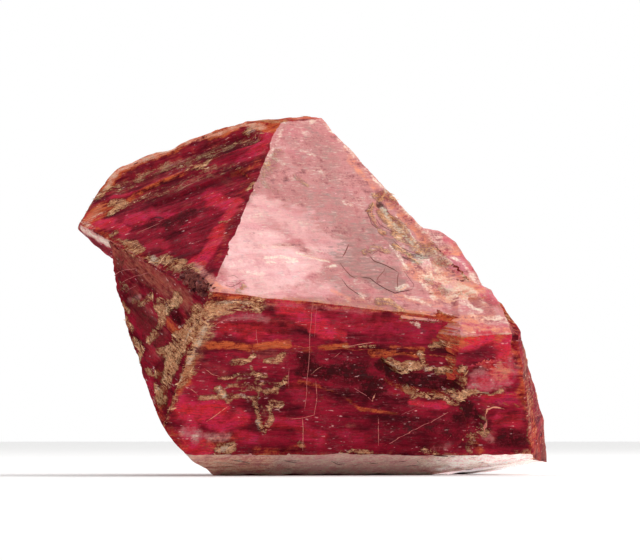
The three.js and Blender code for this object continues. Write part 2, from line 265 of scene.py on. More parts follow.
faceMarks["upperRight"] = dict(
    # Frost here is a frosted film with a painted sheen: paler pink where the face would mirror bright light
    # from above.
    frostAndSheen=[
        (40, 1.35, (235, 245), (270, 250), (290, 262), (260, 285)),
        (25, 1.25, (245, 215), (280, 215), (330, 250)), (12, 1.2, (285, 290), (330, 290)),
        (12, 1.2, (415, 250), (440, 270), (465, 295)),
    ],
    dust=[
        (10, 0.45, (262, 182), (285, 188), (305, 202)), (8, 0.35, (285, 162), (315, 168), (330, 180)),
        (7, 0.4, (252, 168), (270, 182)), (15, 0.55, (325, 200), (345, 215), (362, 228)),
        (11, 0.95, (345, 236), (375, 236), (392, 246)), (14, 1.15, (350, 262), (365, 270), (385, 282)),
        (9, 0.6, (330, 275), (345, 290), (362, 296)), (5, 0.3, (278, 152), (300, 157)),
        (14, 0.6, (320, 150), (332, 185), (340, 215), (345, 240)), (26, 0.5, (310, 200), (345, 245)),
        (4, 0.7, (262, 298), (320, 301), (380, 304)), (6, 0.5, (288, 140), (304, 150), (300, 165)),
        (5, 0.5, (322, 140), (336, 152)), (16, 1.25, (356, 255), (388, 275)),
        (4, 0.6, (306, 126), (320, 136)),
    ],
    glow=[
        (10, 0.25, (292, 133), (325, 140)), (10, 0.22, (300, 158), (318, 163)),
        (12, 0.2, (240, 228), (280, 235), (320, 240)), (6, 0.25, (270, 193), (288, 194)),
        (5, 0.45, (222, 278), (232, 284), (240, 280)), (6, 0.3, (322, 252), (330, 262)),
        (8, 0.8, (455, 258), (466, 266)), (4, 0.7, (447, 240), (457, 244)),
        (5, 0.9, (452, 262), (460, 268)), (7, 1.2, (452, 256), (462, 258), (472, 266)),
        (7, 0.9, (484, 292), (492, 302)), (6, 0.3, (474, 304), (484, 310)),
        (6, 1.6, (464, 329), (486, 330), (512, 331)),
    ],
    # Cream here is pale streaks with painted highlights, such as the small sparkles by the crust at the
    # right.
    creamAndHighlight=[
        (1.3, 1, (265, 258), (280, 257), (294, 258)), (1.3, 0.9, (268, 263), (284, 262), (298, 261)),
        (5, 0.3, (264, 260), (296, 260)), (1.6, 0.9, (297, 254), (310, 257), (330, 261)),
        (2, 0.7, (250, 217), (262, 214)), (2.5, 0.5, (262, 246), (292, 246)),
        (2, 0.6, (299, 223), (306, 222)), (2, 0.8, (327, 268), (334, 266)),
        (2.5, 0.6, (232, 265), (242, 261)), (2.5, 0.6, (345, 202), (352, 206)),
        (4, 0.45, (286, 176), (294, 178)), (2, 0.5, (214, 270), (226, 240), (240, 212), (252, 188)),
        (2, 0.6, (262, 165), (272, 150), (282, 130)), (2.5, 0.8, (392, 245), (398, 256), (406, 268)),
        (2, 0.7, (398, 290), (407, 285)), (2.2, 0.8, (413, 258), (428, 263), (445, 267)),
        (1.6, 0.8, (323, 123), (346, 148), (376, 180), (400, 206), (432, 240)),
        (3, 0.6, (312, 122), (322, 118)), (3, 0.6, (360, 294), (370, 300)),
        (2, 0.7, (430, 247), (436, 252), (448, 262)), (4, 0.8, (430, 232), (442, 235)),
        (3, 0.7, (470, 305), (482, 310)), (1.2, 0.9, (436, 270), (446, 280), (462, 286)),
        (1.2, 0.8, (420, 282), (436, 288), (450, 298)), (1.2, 0.8, (398, 214), (410, 228), (420, 244)),
        (3, 1, (384, 208), (394, 220), (406, 232), (418, 246)),
        (2, 0.7, (440, 258), (455, 276), (470, 290)), (2, 0.6, (405, 296), (430, 306)),
        (3, 0.6, (455, 278), (470, 290), (482, 300)), (7, 0.55, (436, 236), (446, 244)),
        (2, 1, (453, 257), (457, 259)), (2.2, 1, (456, 265), (458, 268)),
        (2.2, 1, (465, 263), (468, 268)), (6, 0.7, (452, 278), (460, 284)),
        (1.5, 1, (438, 281), (462, 286)), (5, 0.6, (474, 316), (484, 321)),
        (4, 0.9, (486, 319), (498, 320), (512, 322)), (4, 0.7, (474, 274), (482, 284)),
        (5, 0.4, (436, 298), (452, 300)), (1.2, 0.8, (462, 335), (480, 334), (512, 336)),
        (12, 0.75, (425, 258), (440, 276), (458, 294)), (4, 0.6, (414, 262), (424, 280), (432, 296)),
        (3, 0.5, (300, 132), (316, 138)), (3, 0.5, (318, 168), (330, 178)),
        (2, 0.6, (300, 150), (315, 156)), (2, 0.5, (272, 158), (284, 164)),
        (4, 0.5, (252, 232), (280, 236)), (3, 0.5, (240, 272), (262, 274)),
    ],
    rust=[
        (3.5, 0.8, (212, 280), (218, 288), (232, 291)), (4, 0.45, (345, 152), (360, 168), (378, 188)),
        (6, 0.8, (404, 213), (416, 228), (427, 240)), (2, 0.5, (292, 304), (330, 305), (372, 307)),
        (4.5, 1, (408, 313), (430, 315), (455, 319), (475, 321)), (7, 0.5, (440, 255), (448, 248)),
        (6, 0.75, (458, 296), (470, 293)), (6, 0.4, (442, 295), (455, 306)),
        (3, 0.4, (236, 246), (262, 246), (290, 247)), (6, 0.3, (470, 275), (480, 290), (486, 305)),
        (5, 0.5, (455, 244), (462, 248)), (9, 1, (436, 262), (452, 278), (466, 292)),
        (7, 0.9, (418, 270), (436, 290), (452, 300)), (5, 0.5, (398, 296), (420, 302), (440, 304)),
        (6, 0.6, (380, 205), (396, 222), (412, 240)), (4, 0.7, (350, 160), (372, 185), (392, 205)),
        (4, 0.5, (335, 292), (350, 298), (372, 300)), (8, 0.5, (445, 270), (470, 290), (488, 306)),
        (5, 0.8, (448, 246), (460, 250)), (9, 1.1, (434, 272), (448, 278)),
        (5, 1.2, (456, 293), (466, 295), (474, 294)), (7, 0.9, (476, 318), (484, 320)),
        (6, 0.6, (466, 280), (480, 290)), (5, 0.8, (464, 329), (486, 330), (512, 331)),
        (10, 0.6, (412, 262), (425, 280), (440, 296)),
    ],
    crust=[
        (2.5, 0.9, (374, 204), (370, 212), (375, 224), (385, 231)),
        (4, 1, (378, 197), (388, 193), (396, 200)), (6, 0.9, (384, 210), (393, 220), (404, 228)),
        (6, 0.85, (402, 232), (412, 240), (424, 248)), (4, 0.8, (396, 244), (408, 254), (420, 262)),
        (5, 0.8, (380, 300), (392, 303), (400, 308)), (3, 1, (238, 291), (244, 287)),
        (2.5, 0.7, (256, 164), (268, 163)), (4, 0.35, (262, 183), (275, 190)),
        (3, 0.5, (250, 186), (256, 176)), (5, 0.5, (430, 256), (444, 260)),
        (3, 0.6, (365, 252), (375, 248), (388, 252)), (5, 0.5, (430, 280), (445, 290)),
        (6, 0.6, (434, 248), (446, 258)), (5, 0.4, (262, 178), (272, 166), (280, 152)),
        (4, 0.45, (246, 205), (254, 192)), (3, 0.5, (296, 176), (306, 186)),
    ],
    dark=[
        (4.5, 0.85, (381, 203), (388, 210)), (2.6, 1, (402, 249), (415, 253), (428, 256)),
        (2, 0.9, (404, 257), (413, 262)), (2, 0.6, (372, 203), (368, 211)),
        (1.5, 0.7, (455, 294), (464, 292), (472, 294)),
    ],
    # A painted glow, shown as emission: on the face's luminous left part and on a sparkle by the crust at
    # the right.
    paintedGlow=[
        (18, 0.22, (238, 250), (258, 262), (285, 262), (270, 248)), (8, 0.3, (454, 260), (464, 264)),
    ],
)
faceMarks["lowerRight"] = dict(
    glow=[
        (12, 0.5, (225, 330), (300, 320), (380, 326), (460, 332)),
        (6, 0.5, (200, 330), (240, 325), (300, 325)), (10, 0.9, (282, 307), (308, 316), (324, 327)),
        (5, 0.9, (312, 330), (345, 334)), (8, 0.7, (226, 326), (258, 332)),
        (5, 0.6, (340, 309), (378, 313)), (9, 1, (176, 408), (198, 414), (216, 412)),
        (8, 0.9, (214, 421), (228, 426), (242, 424)), (8, 0.9, (190, 428), (186, 440), (204, 450)),
        (7, 0.7, (238, 432), (256, 436)), (9, 0.6, (270, 424), (298, 424), (320, 440)),
        (3.5, 1, (410, 404), (428, 406), (446, 405)),
        (12, 0.9, (472, 360), (500, 358), (502, 378), (480, 380)),
        (10, 0.65, (436, 326), (468, 334), (500, 340)), (5, 0.9, (488, 400), (516, 400)),
        (8, 0.6, (500, 418), (518, 420)), (6, 0.45, (340, 432), (362, 440)),
        (6, 0.5, (292, 390), (312, 396)), (6, 0.4, (430, 450), (452, 446)),
        (8, 0.35, (350, 325), (390, 336)),
    ],
    crust=[
        (2.2, 1, (462, 360), (465, 374), (462, 392)),
        (6, 1, (211, 312), (200, 335), (190, 356), (178, 380), (168, 400)),
        (6, 0.8, (214, 304), (238, 303), (258, 306)), (2.5, 1, (236, 363), (248, 361), (255, 357)),
        (3.2, 0.9, (268, 361), (278, 361), (284, 355)),
        (1.8, 1, (220, 379), (240, 376), (260, 375), (268, 378)), (1.3, 0.8, (240, 380), (264, 380)),
        (1.8, 0.8, (252, 368), (255, 373)), (1.4, 0.7, (228, 386), (258, 385), (284, 385)),
        (3, 0.9, (278, 388), (285, 385), (287, 381)), (4, 1, (218, 388), (225, 395), (228, 401)),
        (2.6, 0.9, (199, 397), (214, 398), (226, 399)), (2.6, 0.9, (230, 396), (248, 397), (258, 399)),
        (1.6, 0.7, (238, 391), (262, 390)), (2.6, 0.8, (252, 387), (262, 392)),
        (3, 0.8, (267, 393), (276, 392)), (3, 0.8, (271, 402), (281, 406)),
        (2.2, 1, (255, 402), (257, 416), (262, 429), (264, 433)),
        (3, 0.8, (270, 406), (271, 418), (266, 430)), (4, 0.4, (262, 408), (265, 422)),
        (4, 1, (217, 447), (231, 446), (228, 451)), (3, 0.8, (299, 444), (302, 446)),
        (1.6, 0.8, (344, 345), (360, 346), (374, 346)), (3.2, 1, (391, 363), (399, 368), (407, 373)),
        (4, 1, (408, 367), (424, 368), (436, 371)), (3.2, 1, (441, 374), (456, 371)),
        (3, 0.9, (457, 361), (461, 369)), (3, 0.9, (431, 346), (443, 344), (450, 342)),
        (3, 0.8, (421, 354), (425, 363)), (4, 1, (450, 392), (460, 396), (475, 392)),
        (3, 0.8, (449, 400), (457, 403)), (1.8, 0.9, (409, 393), (430, 396), (446, 398)),
        (2.6, 0.7, (408, 389), (415, 396)), (1.8, 0.9, (478, 393), (490, 394), (503, 390)),
        (1.6, 0.8, (484, 413), (484, 430), (483, 437)), (2.2, 0.9, (470, 437), (480, 437), (488, 431)),
        (2, 0.7, (474, 442), (469, 447)), (4, 0.7, (425, 449), (436, 455)),
        (1.5, 0.9, (340, 453), (352, 450), (372, 453)), (4, 0.6, (518, 455), (545, 454)),
        (4, 0.6, (528, 432), (531, 442)), (8, 0.9, (199, 322), (190, 340), (180, 362)),
        (11, 0.75, (214, 306), (203, 328), (192, 350), (180, 372), (168, 396)),
        (4, 0.8, (222, 310), (240, 307)),
    ],
    creamAndHighlight=[
        (1.5, 0.7, (462, 362), (465, 374)), (2.5, 0.8, (208, 320), (198, 342), (186, 366)),
        (2.5, 0.7, (180, 378), (170, 398)), (3, 0.6, (219, 448), (230, 447)),
        (2, 0.8, (393, 364), (400, 369)), (2, 0.8, (426, 369), (433, 371)),
        (1.3, 1, (478, 393), (492, 394)), (2, 0.9, (413, 321), (419, 326)),
        (2, 0.6, (192, 437), (198, 435)), (1.2, 0.8, (340, 453), (350, 450)),
        (2, 0.7, (449, 395), (455, 397)), (2, 0.7, (216, 303), (236, 301), (252, 304)),
        (1.6, 0.8, (258, 420), (263, 432)), (1.6, 0.8, (218, 389), (226, 399)),
        (1.4, 0.7, (240, 396), (252, 397)),
    ],
    rust=[
        (4.5, 1, (408, 313), (430, 315), (455, 319), (472, 321)),
        (3.2, 1.1, (203, 347), (225, 345), (250, 348), (275, 346), (290, 347)),
        (2, 0.5, (277, 341), (290, 342)), (3, 0.5, (292, 350), (312, 352)),
        (3, 1.1, (323, 348), (345, 346)), (4.5, 0.95, (374, 354), (395, 353), (417, 356)),
        (2, 0.9, (390, 347), (422, 349)), (2.5, 0.8, (463, 362), (464, 388)),
        (4, 0.6, (514, 345), (519, 365), (524, 384), (530, 393)), (5, 0.6, (474, 438), (480, 450)),
        (1.6, 0.7, (300, 382), (318, 386), (343, 396), (362, 409), (398, 414)),
        (3, 0.5, (250, 303), (270, 304), (290, 303)), (2, 0.6, (290, 302), (335, 304)),
        (5, 0.5, (163, 420), (174, 434), (184, 446)), (5, 0.5, (204, 446), (232, 440)),
        (4, 0.5, (255, 450), (272, 452), (300, 449)), (4, 0.7, (520, 392), (530, 402), (526, 392)),
        (3, 0.5, (432, 340), (445, 348)), (4, 0.6, (420, 352), (428, 362)),
        (10, 0.8, (214, 306), (203, 328), (192, 350), (180, 372), (168, 396)),
        (10, 0.65, (474, 350), (488, 362), (500, 372)), (4, 0.9, (216, 303), (236, 300), (258, 304)),
        (6, 0.4, (474, 350), (486, 345), (506, 346)),
    ],
    dark=[
        (8, 0.8, (315, 366), (350, 374), (380, 380)), (7, 1, (384, 366), (394, 377), (412, 381)),
        (5, 0.9, (420, 382), (440, 387), (458, 386)), (8, 0.7, (362, 368), (376, 386)),
        (7, 0.9, (462, 404), (474, 412), (458, 416)), (5, 0.8, (480, 422), (484, 430)),
        (12, 0.6, (395, 420), (425, 426), (462, 432)), (8, 0.8, (505, 438), (522, 438)),
        (6, 0.5, (338, 394), (362, 398)), (6, 0.5, (440, 350), (455, 352)),
        (6, 0.4, (400, 328), (430, 330)), (6, 0.35, (240, 318), (280, 326)),
        (10, 0.4, (300, 358), (360, 358)), (6, 0.5, (395, 398), (405, 404)),
        (14, 0.9, (312, 368), (345, 375), (378, 385)), (10, 0.35, (400, 440), (460, 440)),
        (6, 0.5, (528, 400), (536, 430), (542, 450)), (10, 0.4, (385, 425), (470, 435)),
    ],
    frostAndSheen=[
        (6, 0.5, (185, 432), (196, 437)), (4, 0.6, (208, 436), (226, 438)),
        (3, 0.4, (222, 322), (245, 317), (268, 321)), (5, 0.5, (484, 328), (500, 328), (512, 330)),
        (4, 0.35, (427, 452), (448, 446)), (3, 0.4, (488, 436), (492, 440)),
        (7, 0.35, (216, 310), (204, 335), (192, 355)),
        (12, 0.4, (472, 352), (500, 352), (505, 372), (480, 378)),
        (2.5, 0.25, (262, 305), (320, 307), (380, 311)),
    ],
    dust=[
        (6, 0.5, (254, 352), (284, 356)), (3, 0.5, (225, 319), (260, 319), (292, 323)),
        (2.5, 0.5, (346, 426), (356, 426)), (4, 0.4, (488, 428), (494, 440)),
        (5, 0.35, (200, 365), (225, 372)),
        (9, 0.7, (216, 308), (204, 330), (192, 352), (180, 374), (168, 398)),
        (6, 0.5, (220, 305), (260, 306)), (3.5, 0.4, (262, 307), (320, 309), (380, 313)),
    ],
)
faceMarks["lowerLeft"] = dict(
    dust=[
        (8, 0.5, (135, 290), (150, 320), (160, 350)),
        (9, 0.95, (110, 249), (130, 261), (150, 275), (168, 289), (186, 302)),
        (4, 0.4, (118, 268), (130, 282)),
        (7, 0.7, (196, 310), (186, 332), (176, 352), (166, 376), (160, 398)),
        (12, 0.4, (135, 305), (150, 325), (160, 350)),
    ],
    rust=[
        (5, 0.35, (116, 252), (140, 268), (165, 288), (186, 302)), (5, 0.7, (168, 320), (176, 332)),
        (5, 0.7, (158, 372), (166, 384)), (4, 0.5, (148, 398), (156, 412), (166, 424)),
        (8, 0.75, (196, 312), (186, 334), (176, 354), (166, 378), (160, 400)),
    ],
    dark=[
        (8, 0.6, (118, 262), (124, 285), (130, 300)), (8, 0.6, (140, 282), (152, 292)),
        (6, 0.9, (170, 310), (178, 320)), (8, 0.6, (158, 345), (168, 342)),
        (5, 0.8, (160, 397), (166, 402)), (5, 0.6, (150, 325), (146, 336)),
        (12, 0.6, (130, 300), (150, 320), (165, 350), (158, 380)),
    ],
    crust=[
        (3, 0.8, (122, 303), (128, 312)), (3, 0.7, (132, 302), (144, 304), (150, 296)),
        (7, 0.95, (162, 305), (172, 303), (176, 300)), (5, 0.9, (163, 318), (156, 332), (150, 340)),
        (4, 0.9, (135, 342), (142, 350), (138, 356)), (5, 0.9, (160, 352), (170, 350), (176, 340)),
        (4, 0.9, (166, 368), (172, 356), (182, 344)), (3, 0.7, (146, 370), (156, 376)),
        (6, 0.9, (192, 322), (186, 335), (178, 350)), (4, 0.6, (127, 318), (130, 330)),
        (3, 0.8, (155, 384), (158, 394)), (4, 0.4, (120, 285), (128, 288)),
        (4, 1, (200, 314), (190, 334), (180, 354), (168, 384)),
        (8, 0.75, (196, 312), (186, 334), (176, 354), (166, 378), (160, 400)),
    ],
    glow=[
        (6, 0.3, (142, 325), (148, 330)), (6, 0.4, (150, 352), (155, 360), (168, 342)),
        (4, 0.5, (148, 384), (153, 384)), (5, 0.35, (118, 270), (122, 262)),
        (5, 0.28, (138, 300), (145, 312)), (5, 0.42, (180, 308), (184, 318)),
    ],
    creamAndHighlight=[
        (1.6, 0.9, (179, 327), (182, 327)), (1.6, 0.9, (156, 387), (158, 390)),
        (2, 0.8, (153, 400), (156, 402)), (2, 0.7, (194, 324), (184, 344)),
    ],
    frostAndSheen=[
        (3, 0.5, (128, 300), (140, 298)),
    ],
)
faceMarks["lip.under"] = dict(
    # The frost and cream along the lip's outer edge paint the highlight on its underside.
    frostAndSheen=[
        (3.5, 1.1, (80, 228), (90, 234), (100, 240), (110, 245)),
    ],
    creamAndHighlight=[
        (3, 0.8, (80, 228), (90, 234), (100, 240), (108, 244)),
    ],
    dust=[
        (4, 0.8, (118, 250), (140, 264), (165, 282)),
    ],
    rust=[
        (4, 0.6, (114, 249), (140, 264), (165, 282)),
    ],
    crust=[
        (3, 0.5, (120, 250), (140, 264)),
    ],
)
faceMarks["bevel"] = dict(
    dust=[
        (20, 0.6, (210, 464), (400, 464), (540, 458)),
    ],
    # Cream and the strip's even frost paint a pale reflection on this downward face, nearly white at its
    # right end.
    creamAndHighlight=[
        (20, 1, (440, 464), (490, 462), (545, 456)),
    ],
    rust=[
        (8, 0.35, (240, 468), (300, 468)), (3, 0.3, (300, 463), (400, 465)),
        (20, 0.9, (196, 464), (255, 466)),
    ],
    glow=[
        (20, 0.6, (196, 464), (262, 466)),
    ],
    dark=[
        (1.2, 0.9, (238, 460), (250, 463)), (1.2, 0.8, (255, 464), (268, 466)),
        (1, 0.8, (350, 465), (362, 464)), (1, 0.8, (366, 462), (376, 464)),
        (1, 0.7, (470, 460), (478, 459)), (1, 0.7, (478, 463), (484, 462)),
        (1.2, 0.8, (442, 468), (452, 468)), (1.2, 0.8, (456, 470), (462, 470)),
        (1.5, 0.8, (285, 460), (300, 461)), (1.2, 0.8, (332, 461), (345, 464)),
        (1.2, 0.7, (305, 465), (320, 466)), (1.2, 0.8, (385, 461), (400, 462)),
        (1.2, 0.8, (402, 467), (412, 466)), (1.2, 0.7, (420, 459), (428, 461)),
        (1, 0.7, (455, 457), (462, 458)), (1.2, 0.7, (436, 466), (446, 465)),
        (1.2, 0.6, (215, 462), (240, 464)),
    ],
    # A painted glow, shown as emission, at the strip's thin right end.
    paintedGlow=[
        (12, 0.35, (440, 462), (450, 462)), (20, 0.8, (462, 462), (480, 461)),
        (20, 1.3, (500, 460), (520, 459), (548, 456)),
    ],
)
# The even level of a finish over the whole of a marked face. The upper right face's even frost is partly a
# painted sheen, and the bottom strip's frost and cream a painted reflection.
groundLevels = {
    "upperRight": dict(frostAndSheen=0.85),
    "bevel": dict(frostAndSheen=1.25, dust=0.3, creamAndHighlight=0.65),
}
# Of these finishes, frost is partly a painted sheen, cream partly painted highlights, and the last one a
# painted glow shown as emission.
finishes = ("glow", "frostAndSheen", "dust", "rust", "dark", "crust", "creamAndHighlight", "paintedGlow")
# Faces without marks: the level of each finish, which noise then breaks into patches. The first
# line is for a face that isn't listed. Frost and cream there are partly painted sheen and highlights.
plainLevels = dict(glow=0.25, dust=0.3, rust=0.3, dark=0.55, crust=0.3)
plainFaces = {
    "roof": dict(rust=0.55, glow=0.45, dark=0.4, crust=0.3),
    "crest": dict(rust=0.8, glow=0.5, frostAndSheen=0.2, crust=0.2),
    "shoulder": dict(glow=0.45, rust=0.45, frostAndSheen=0.15, dark=0.45, crust=0.3),
    "tip": dict(rust=0.7, crust=0.5, glow=0.5),
    "flank": dict(rust=0.45, glow=0.15, crust=0.15, dark=0.4, dust=0.5),
    "rim": dict(rust=0.7, glow=0.3, crust=0.3, dark=0.4),
    "undercut": dict(dust=0.4, glow=0.5, dark=0.35, crust=0.35),
    "ankle": dict(dust=0.4, glow=0.4, dark=0.4, crust=0.35),
    "toe": dict(rust=0.4, glow=0.7),
    # The heel under the bottom strip is painted pale like it: frost and cream for a painted reflection, and
    # a painted glow.
    "heel": dict(frostAndSheen=1.3, creamAndHighlight=1.0, dust=0.3, paintedGlow=1.1),
    "base": dict(frostAndSheen=0.3, dust=0.6, dark=0.3),
    "backLower": dict(glow=0.2, dark=0.55, dust=0.45, crust=0.2),
    "lip.chin": dict(frostAndSheen=0.4, glow=0.5),
    "upperSide.top": dict(frostAndSheen=0.5, rust=0.7, creamAndHighlight=0.5),
    "upperSide.side": dict(frostAndSheen=0.4, glow=0.9, rust=0.4, creamAndHighlight=0.3),
    "upperSide.sideLow": dict(frostAndSheen=0.3, rust=0.6, glow=0.7, creamAndHighlight=0.2),
    "lowerSide.top": dict(frostAndSheen=0.5, rust=0.7, creamAndHighlight=0.5),
    "lowerSide.corner": dict(glow=0.9, frostAndSheen=0.1, rust=0.4),
    "lowerSide.side": dict(frostAndSheen=0.3, glow=0.8, rust=0.6),
    "lowerSide.under": dict(glow=1.6, rust=1.1),
    "footBlock.top": dict(rust=0.7, glow=0.6, crust=0.4),
}
# What lines the edges where two faces meet.
seams = {
    ("upperLeft", "upperRight"): dict(rust=0.2),
    ("upperRight", "lowerRight"): dict(rust=0.8, crust=0.35),
    ("upperLeft", "lowerLeft"): dict(crust=0.75, rust=0.7),
    ("lowerRight", "lowerLeft"): dict(crust=1.0, rust=0.7, dust=0.8),
    ("lowerRight", "bevel"): dict(crust=0.35, rust=0.4),
    ("upperLeft", "roof"): dict(rust=1.0, glow=0.5),
    ("upperLeft", "crest"): dict(rust=1.0, glow=0.5),
    # Cream along these two edges, with frost on the second, paints a highlight along the edge.
    ("upperLeft", "lip.under"): dict(rust=0.6, creamAndHighlight=0.5),
    ("upperRight", "crest"): dict(frostAndSheen=0.7, creamAndHighlight=0.6),
    ("upperRight", "shoulder"): dict(creamAndHighlight=0.6, rust=0.6),
    ("lowerRight", "flank"): dict(rust=0.6),
    ("flank", "heel"): dict(rust=0.4),
    ("lowerRight", "rim"): dict(rust=1.0),
    ("lowerLeft", "undercut"): dict(dark=0.8),
    ("lowerLeft", "ankle"): dict(dark=0.6),
}
otherSeams = dict(rust=0.45, crust=0.4)
# What gathers on the walls of steps and ledges.
stepWalls = dict(crust=0.3, rust=0.7, dust=0.3)

body = dict(
    steps=126,            # cells along a side of each of the six grids
    ledgeWall=0.12,       # mm, width of a ledge's wall
    ledgeWander=0.13,     # mm, how far a ledge's outline wanders
    layerWidth=0.55,      # mm, width of a growth layer
    layerLength=4.5,      # mm, length of a growth layer
    layerSteps=4,         # steps over a layer's noise
    stepShare=0.6,        # a step's height over the one listed
    crustHeight=0.03,     # mm, how far the crust stands out
    crustGaps=0.5,        # how much of the crust's lumps stays, from -1 for none to 1
    edgeWear=0.05,        # mm, how far an edge is worn
    evenWear=0.3,         # the share of that everywhere
    chipWear=2.2,         # and the share in chips
    chipStart=0.15,       # how common chips are, from -1 to 1
    edgeWidth=0.22,       # mm, how far from an edge wear reaches
    sharpEdge=32,         # degrees, an edge that turns more than this stays sharp
    seamWidth=0.2,        # mm, half width of the finish along an edge
    seamShare=(0.75, 0.5),   # its strength: even, and how far it rises and falls
    patchiness=2.2,       # how far a finish's level rises and falls on faces without marks
    brush=1.12,           # a mark's half width over the one listed
    markStretch=(0.6, 1.6),  # its wander, drawn out along the growth lines and packed over them
    wallTurn=(0.85, 0.6),    # a wall's turn from its face, as cosines: where it starts and is full
    nearPart=(0.95, 0.4),    # a part counts where it reaches this share of the main part, less mm
    nearFace=(1.05, 0.5),    # and its faces within this share of its end, and mm
)
# Noises over the surface: size in mm, layers and seed.
noises = dict(
    rough=(0.8, 4, 90),
    lumps=(0.45, 2, 31),
    ledgeEdges=(0.9, 3, 55),
    chips=(0.9, 3, 301),
    seams=(0.7, 3, 77),
    crustPatches=(0.5, 3, 210),
    crustSpots=(0.2, 2, 220),
)
# Noises that each face or finish has its own of: its number is added to the seed, and times this
# many mm it sets them apart.
layerNoise, markNoise, patchNoise = (1.0, 3, 11), (0.7, 3, 400), (2.2, 3, 600)
layersApart, marksApart, growthApart = 7.3, 5.1, 3.7


# Value noise from -1 to 1. Each lattice cell's own number comes from its three whole indices,
# mixed as 32-bit integers, and the eight around a point are blended by 3 t^2 - 2 t^3.
def smoothNoise(points, size, seed):
    scaled = points.T / size
    low = np.floor(scaled)
    t = scaled - low
    t = t * t * (3 - 2 * t)
    cell = low.astype(np.int64).astype(np.uint32)
    factors = [np.uint32(374761393), np.uint32(668265263), np.uint32(2246822519)]
    sides = [(cell[k] * factors[k], (cell[k] + np.uint32(1)) * factors[k]) for k in range(3)]
    weights = [(1 - t[k], t[k]) for k in range(3)]
    total = np.zeros(len(points))
    for i, j, k in np.ndindex(2, 2, 2):
        mixed = sides[0][i] + sides[1][j] + sides[2][k] + np.uint32(seed * 3266489917 % 2 ** 32)
        mixed = (mixed ^ (mixed >> np.uint32(13))) * np.uint32(1274126177)
        mixed = (mixed ^ (mixed >> np.uint32(15))) * np.uint32(2246822519)
        total += weights[0][i] * weights[1][j] * weights[2][k] * (mixed >> np.uint32(8))
    return total / 8388607.5 - 1


# Layers of smooth noise, each half as wide and half as strong as the one before.
def roughNoise(points, size, layers, seed, countedOn=0):
    seed += countedOn
    total = sum(smoothNoise(points, size / 2 ** k, seed + k) / 2 ** k for k in range(layers))
    return total / (2 - 2 ** (1 - layers))


# 0 below low, 1 above high, and 3 t^2 - 2 t^3 between.
def smoothStep(low, high, value):
    t = np.clip((value - low) / (high - low), 0, 1)
    return t * t * (3 - 2 * t)


# Vectors of length one.
def unit(vectors):
    return vectors / np.maximum(np.linalg.norm(vectors, axis=1), 1e-12)[:, None]


# A face's outward, across and up directions from its facing and tilt.
def faceAxes(facing, tilt):
    turn, rise = math.radians(facing), math.radians(tilt)
    level = math.cos(rise)
    outward = np.array([math.sin(turn) * level, -math.cos(turn) * level, math.sin(rise)])
    across = np.array([math.cos(turn), math.sin(turn), 0.0])
    return outward, across, np.cross(outward, across)


planes = dict(growthFaces)
for partName, part in grownOn.items():
    planes.update({partName + "." + name: values for name, values in part.items() if name != "shares"})
faceNames = list(planes)
faceNumber = {name: k for k, name in enumerate(faceNames)}
axes = [faceAxes(facing, tilt) for facing, tilt, _ in planes.values()]
outwards, acrosses, ups = (np.array([triple[k] for triple in axes]) for k in range(3))
distances = np.array([distance for _, _, distance in planes.values()])

partFaces = dict(main=[faceNumber[name] for name in growthFaces])
innerFace = {}
for partName, part in grownOn.items():
    own = [partName + "." + name for name in part if name not in ("shares", "inner")]
    partFaces[partName] = [faceNumber[name] for name in (*part["shares"], *own)]
    innerFace[partName] = faceNumber[partName + ".inner"]


# Places in the camera's view, in pixels, as mm across and up from the middle of a face seen there.
# A sight line s from the eye e meets the face at e + t s, t = (distance - e . outward) / (s . outward).
def seenOn(name, places):
    number = faceNumber[name]
    eye = camera["place"] - heart
    ahead = unit(np.subtract([camera["target"]], camera["place"]))
    right = np.array([[1.0, 0, 0]])
    offsets = np.array(places, float) - np.array(camera["view"]) / 2
    sight = ahead * focal + right * offsets[:, :1] - np.cross(right, ahead) * offsets[:, 1:]
    t = (distances[number] - eye @ outwards[number]) / (sight @ outwards[number])
    spots = eye + t[:, None] * sight
    return np.stack([spots @ acrosses[number], spots @ ups[number]], 1)


# Each face's strokes as half width, strength and places on the face, to the nearest 0.1 mm.
strokes = {}
for name, marks in faceMarks.items():
    for finish, drawn in marks.items():
        strokes[name, finish] = [
            (round(halfWidth * pixelSize * body["brush"], 2), strength, seenOn(name, places).round(1))
            for halfWidth, strength, *places in drawn
        ]


# Distance from points in a plane to a chain of straight stretches: the least over the stretches.
def chainDistance(across, up, chain):
    nearest = np.full(len(across), 1e9)
    for (x0, y0), (x1, y1) in zip(chain[:-1], chain[1:]):
        dx, dy = x1 - x0, y1 - y0
        t = np.clip(((across - x0) * dx + (up - y0) * dy) / max(dx * dx + dy * dy, 1e-9), 0, 1)
        nearest = np.minimum(nearest, np.hypot(across - x0 - t * dx, up - y0 - t * dy))
    return nearest


# Signed distance from points to a closed outline in a plane, positive inside it: inside, a line
# to the right crosses the outline an odd number of times.
def insideOutline(across, up, outline):
    corners = np.array(outline, float)
    inside = np.zeros(len(across), bool)
    for (x0, y0), (x1, y1) in zip(corners, np.roll(corners, -1, axis=0)):
        crosses = (y0 > up) != (y1 > up)
        inside ^= crosses & (across < x0 + (up - y0) * (x1 - x0) / (y1 - y0 if y1 != y0 else 1e-9))
    nearest = chainDistance(across, up, np.vstack([corners, corners[:1]]))
    return np.where(inside, nearest, -nearest)


# A face's name, or that of the face it runs on from.
def rootName(number):
    return runsOn.get(faceNames[number], faceNames[number])


# A face's growth lines; those of a face that isn't listed slope by ten degrees times its number.
def grainOf(number):
    return faceGrain.get(rootName(number), (10 * number % 50 - 20, 0.04, 0.04))


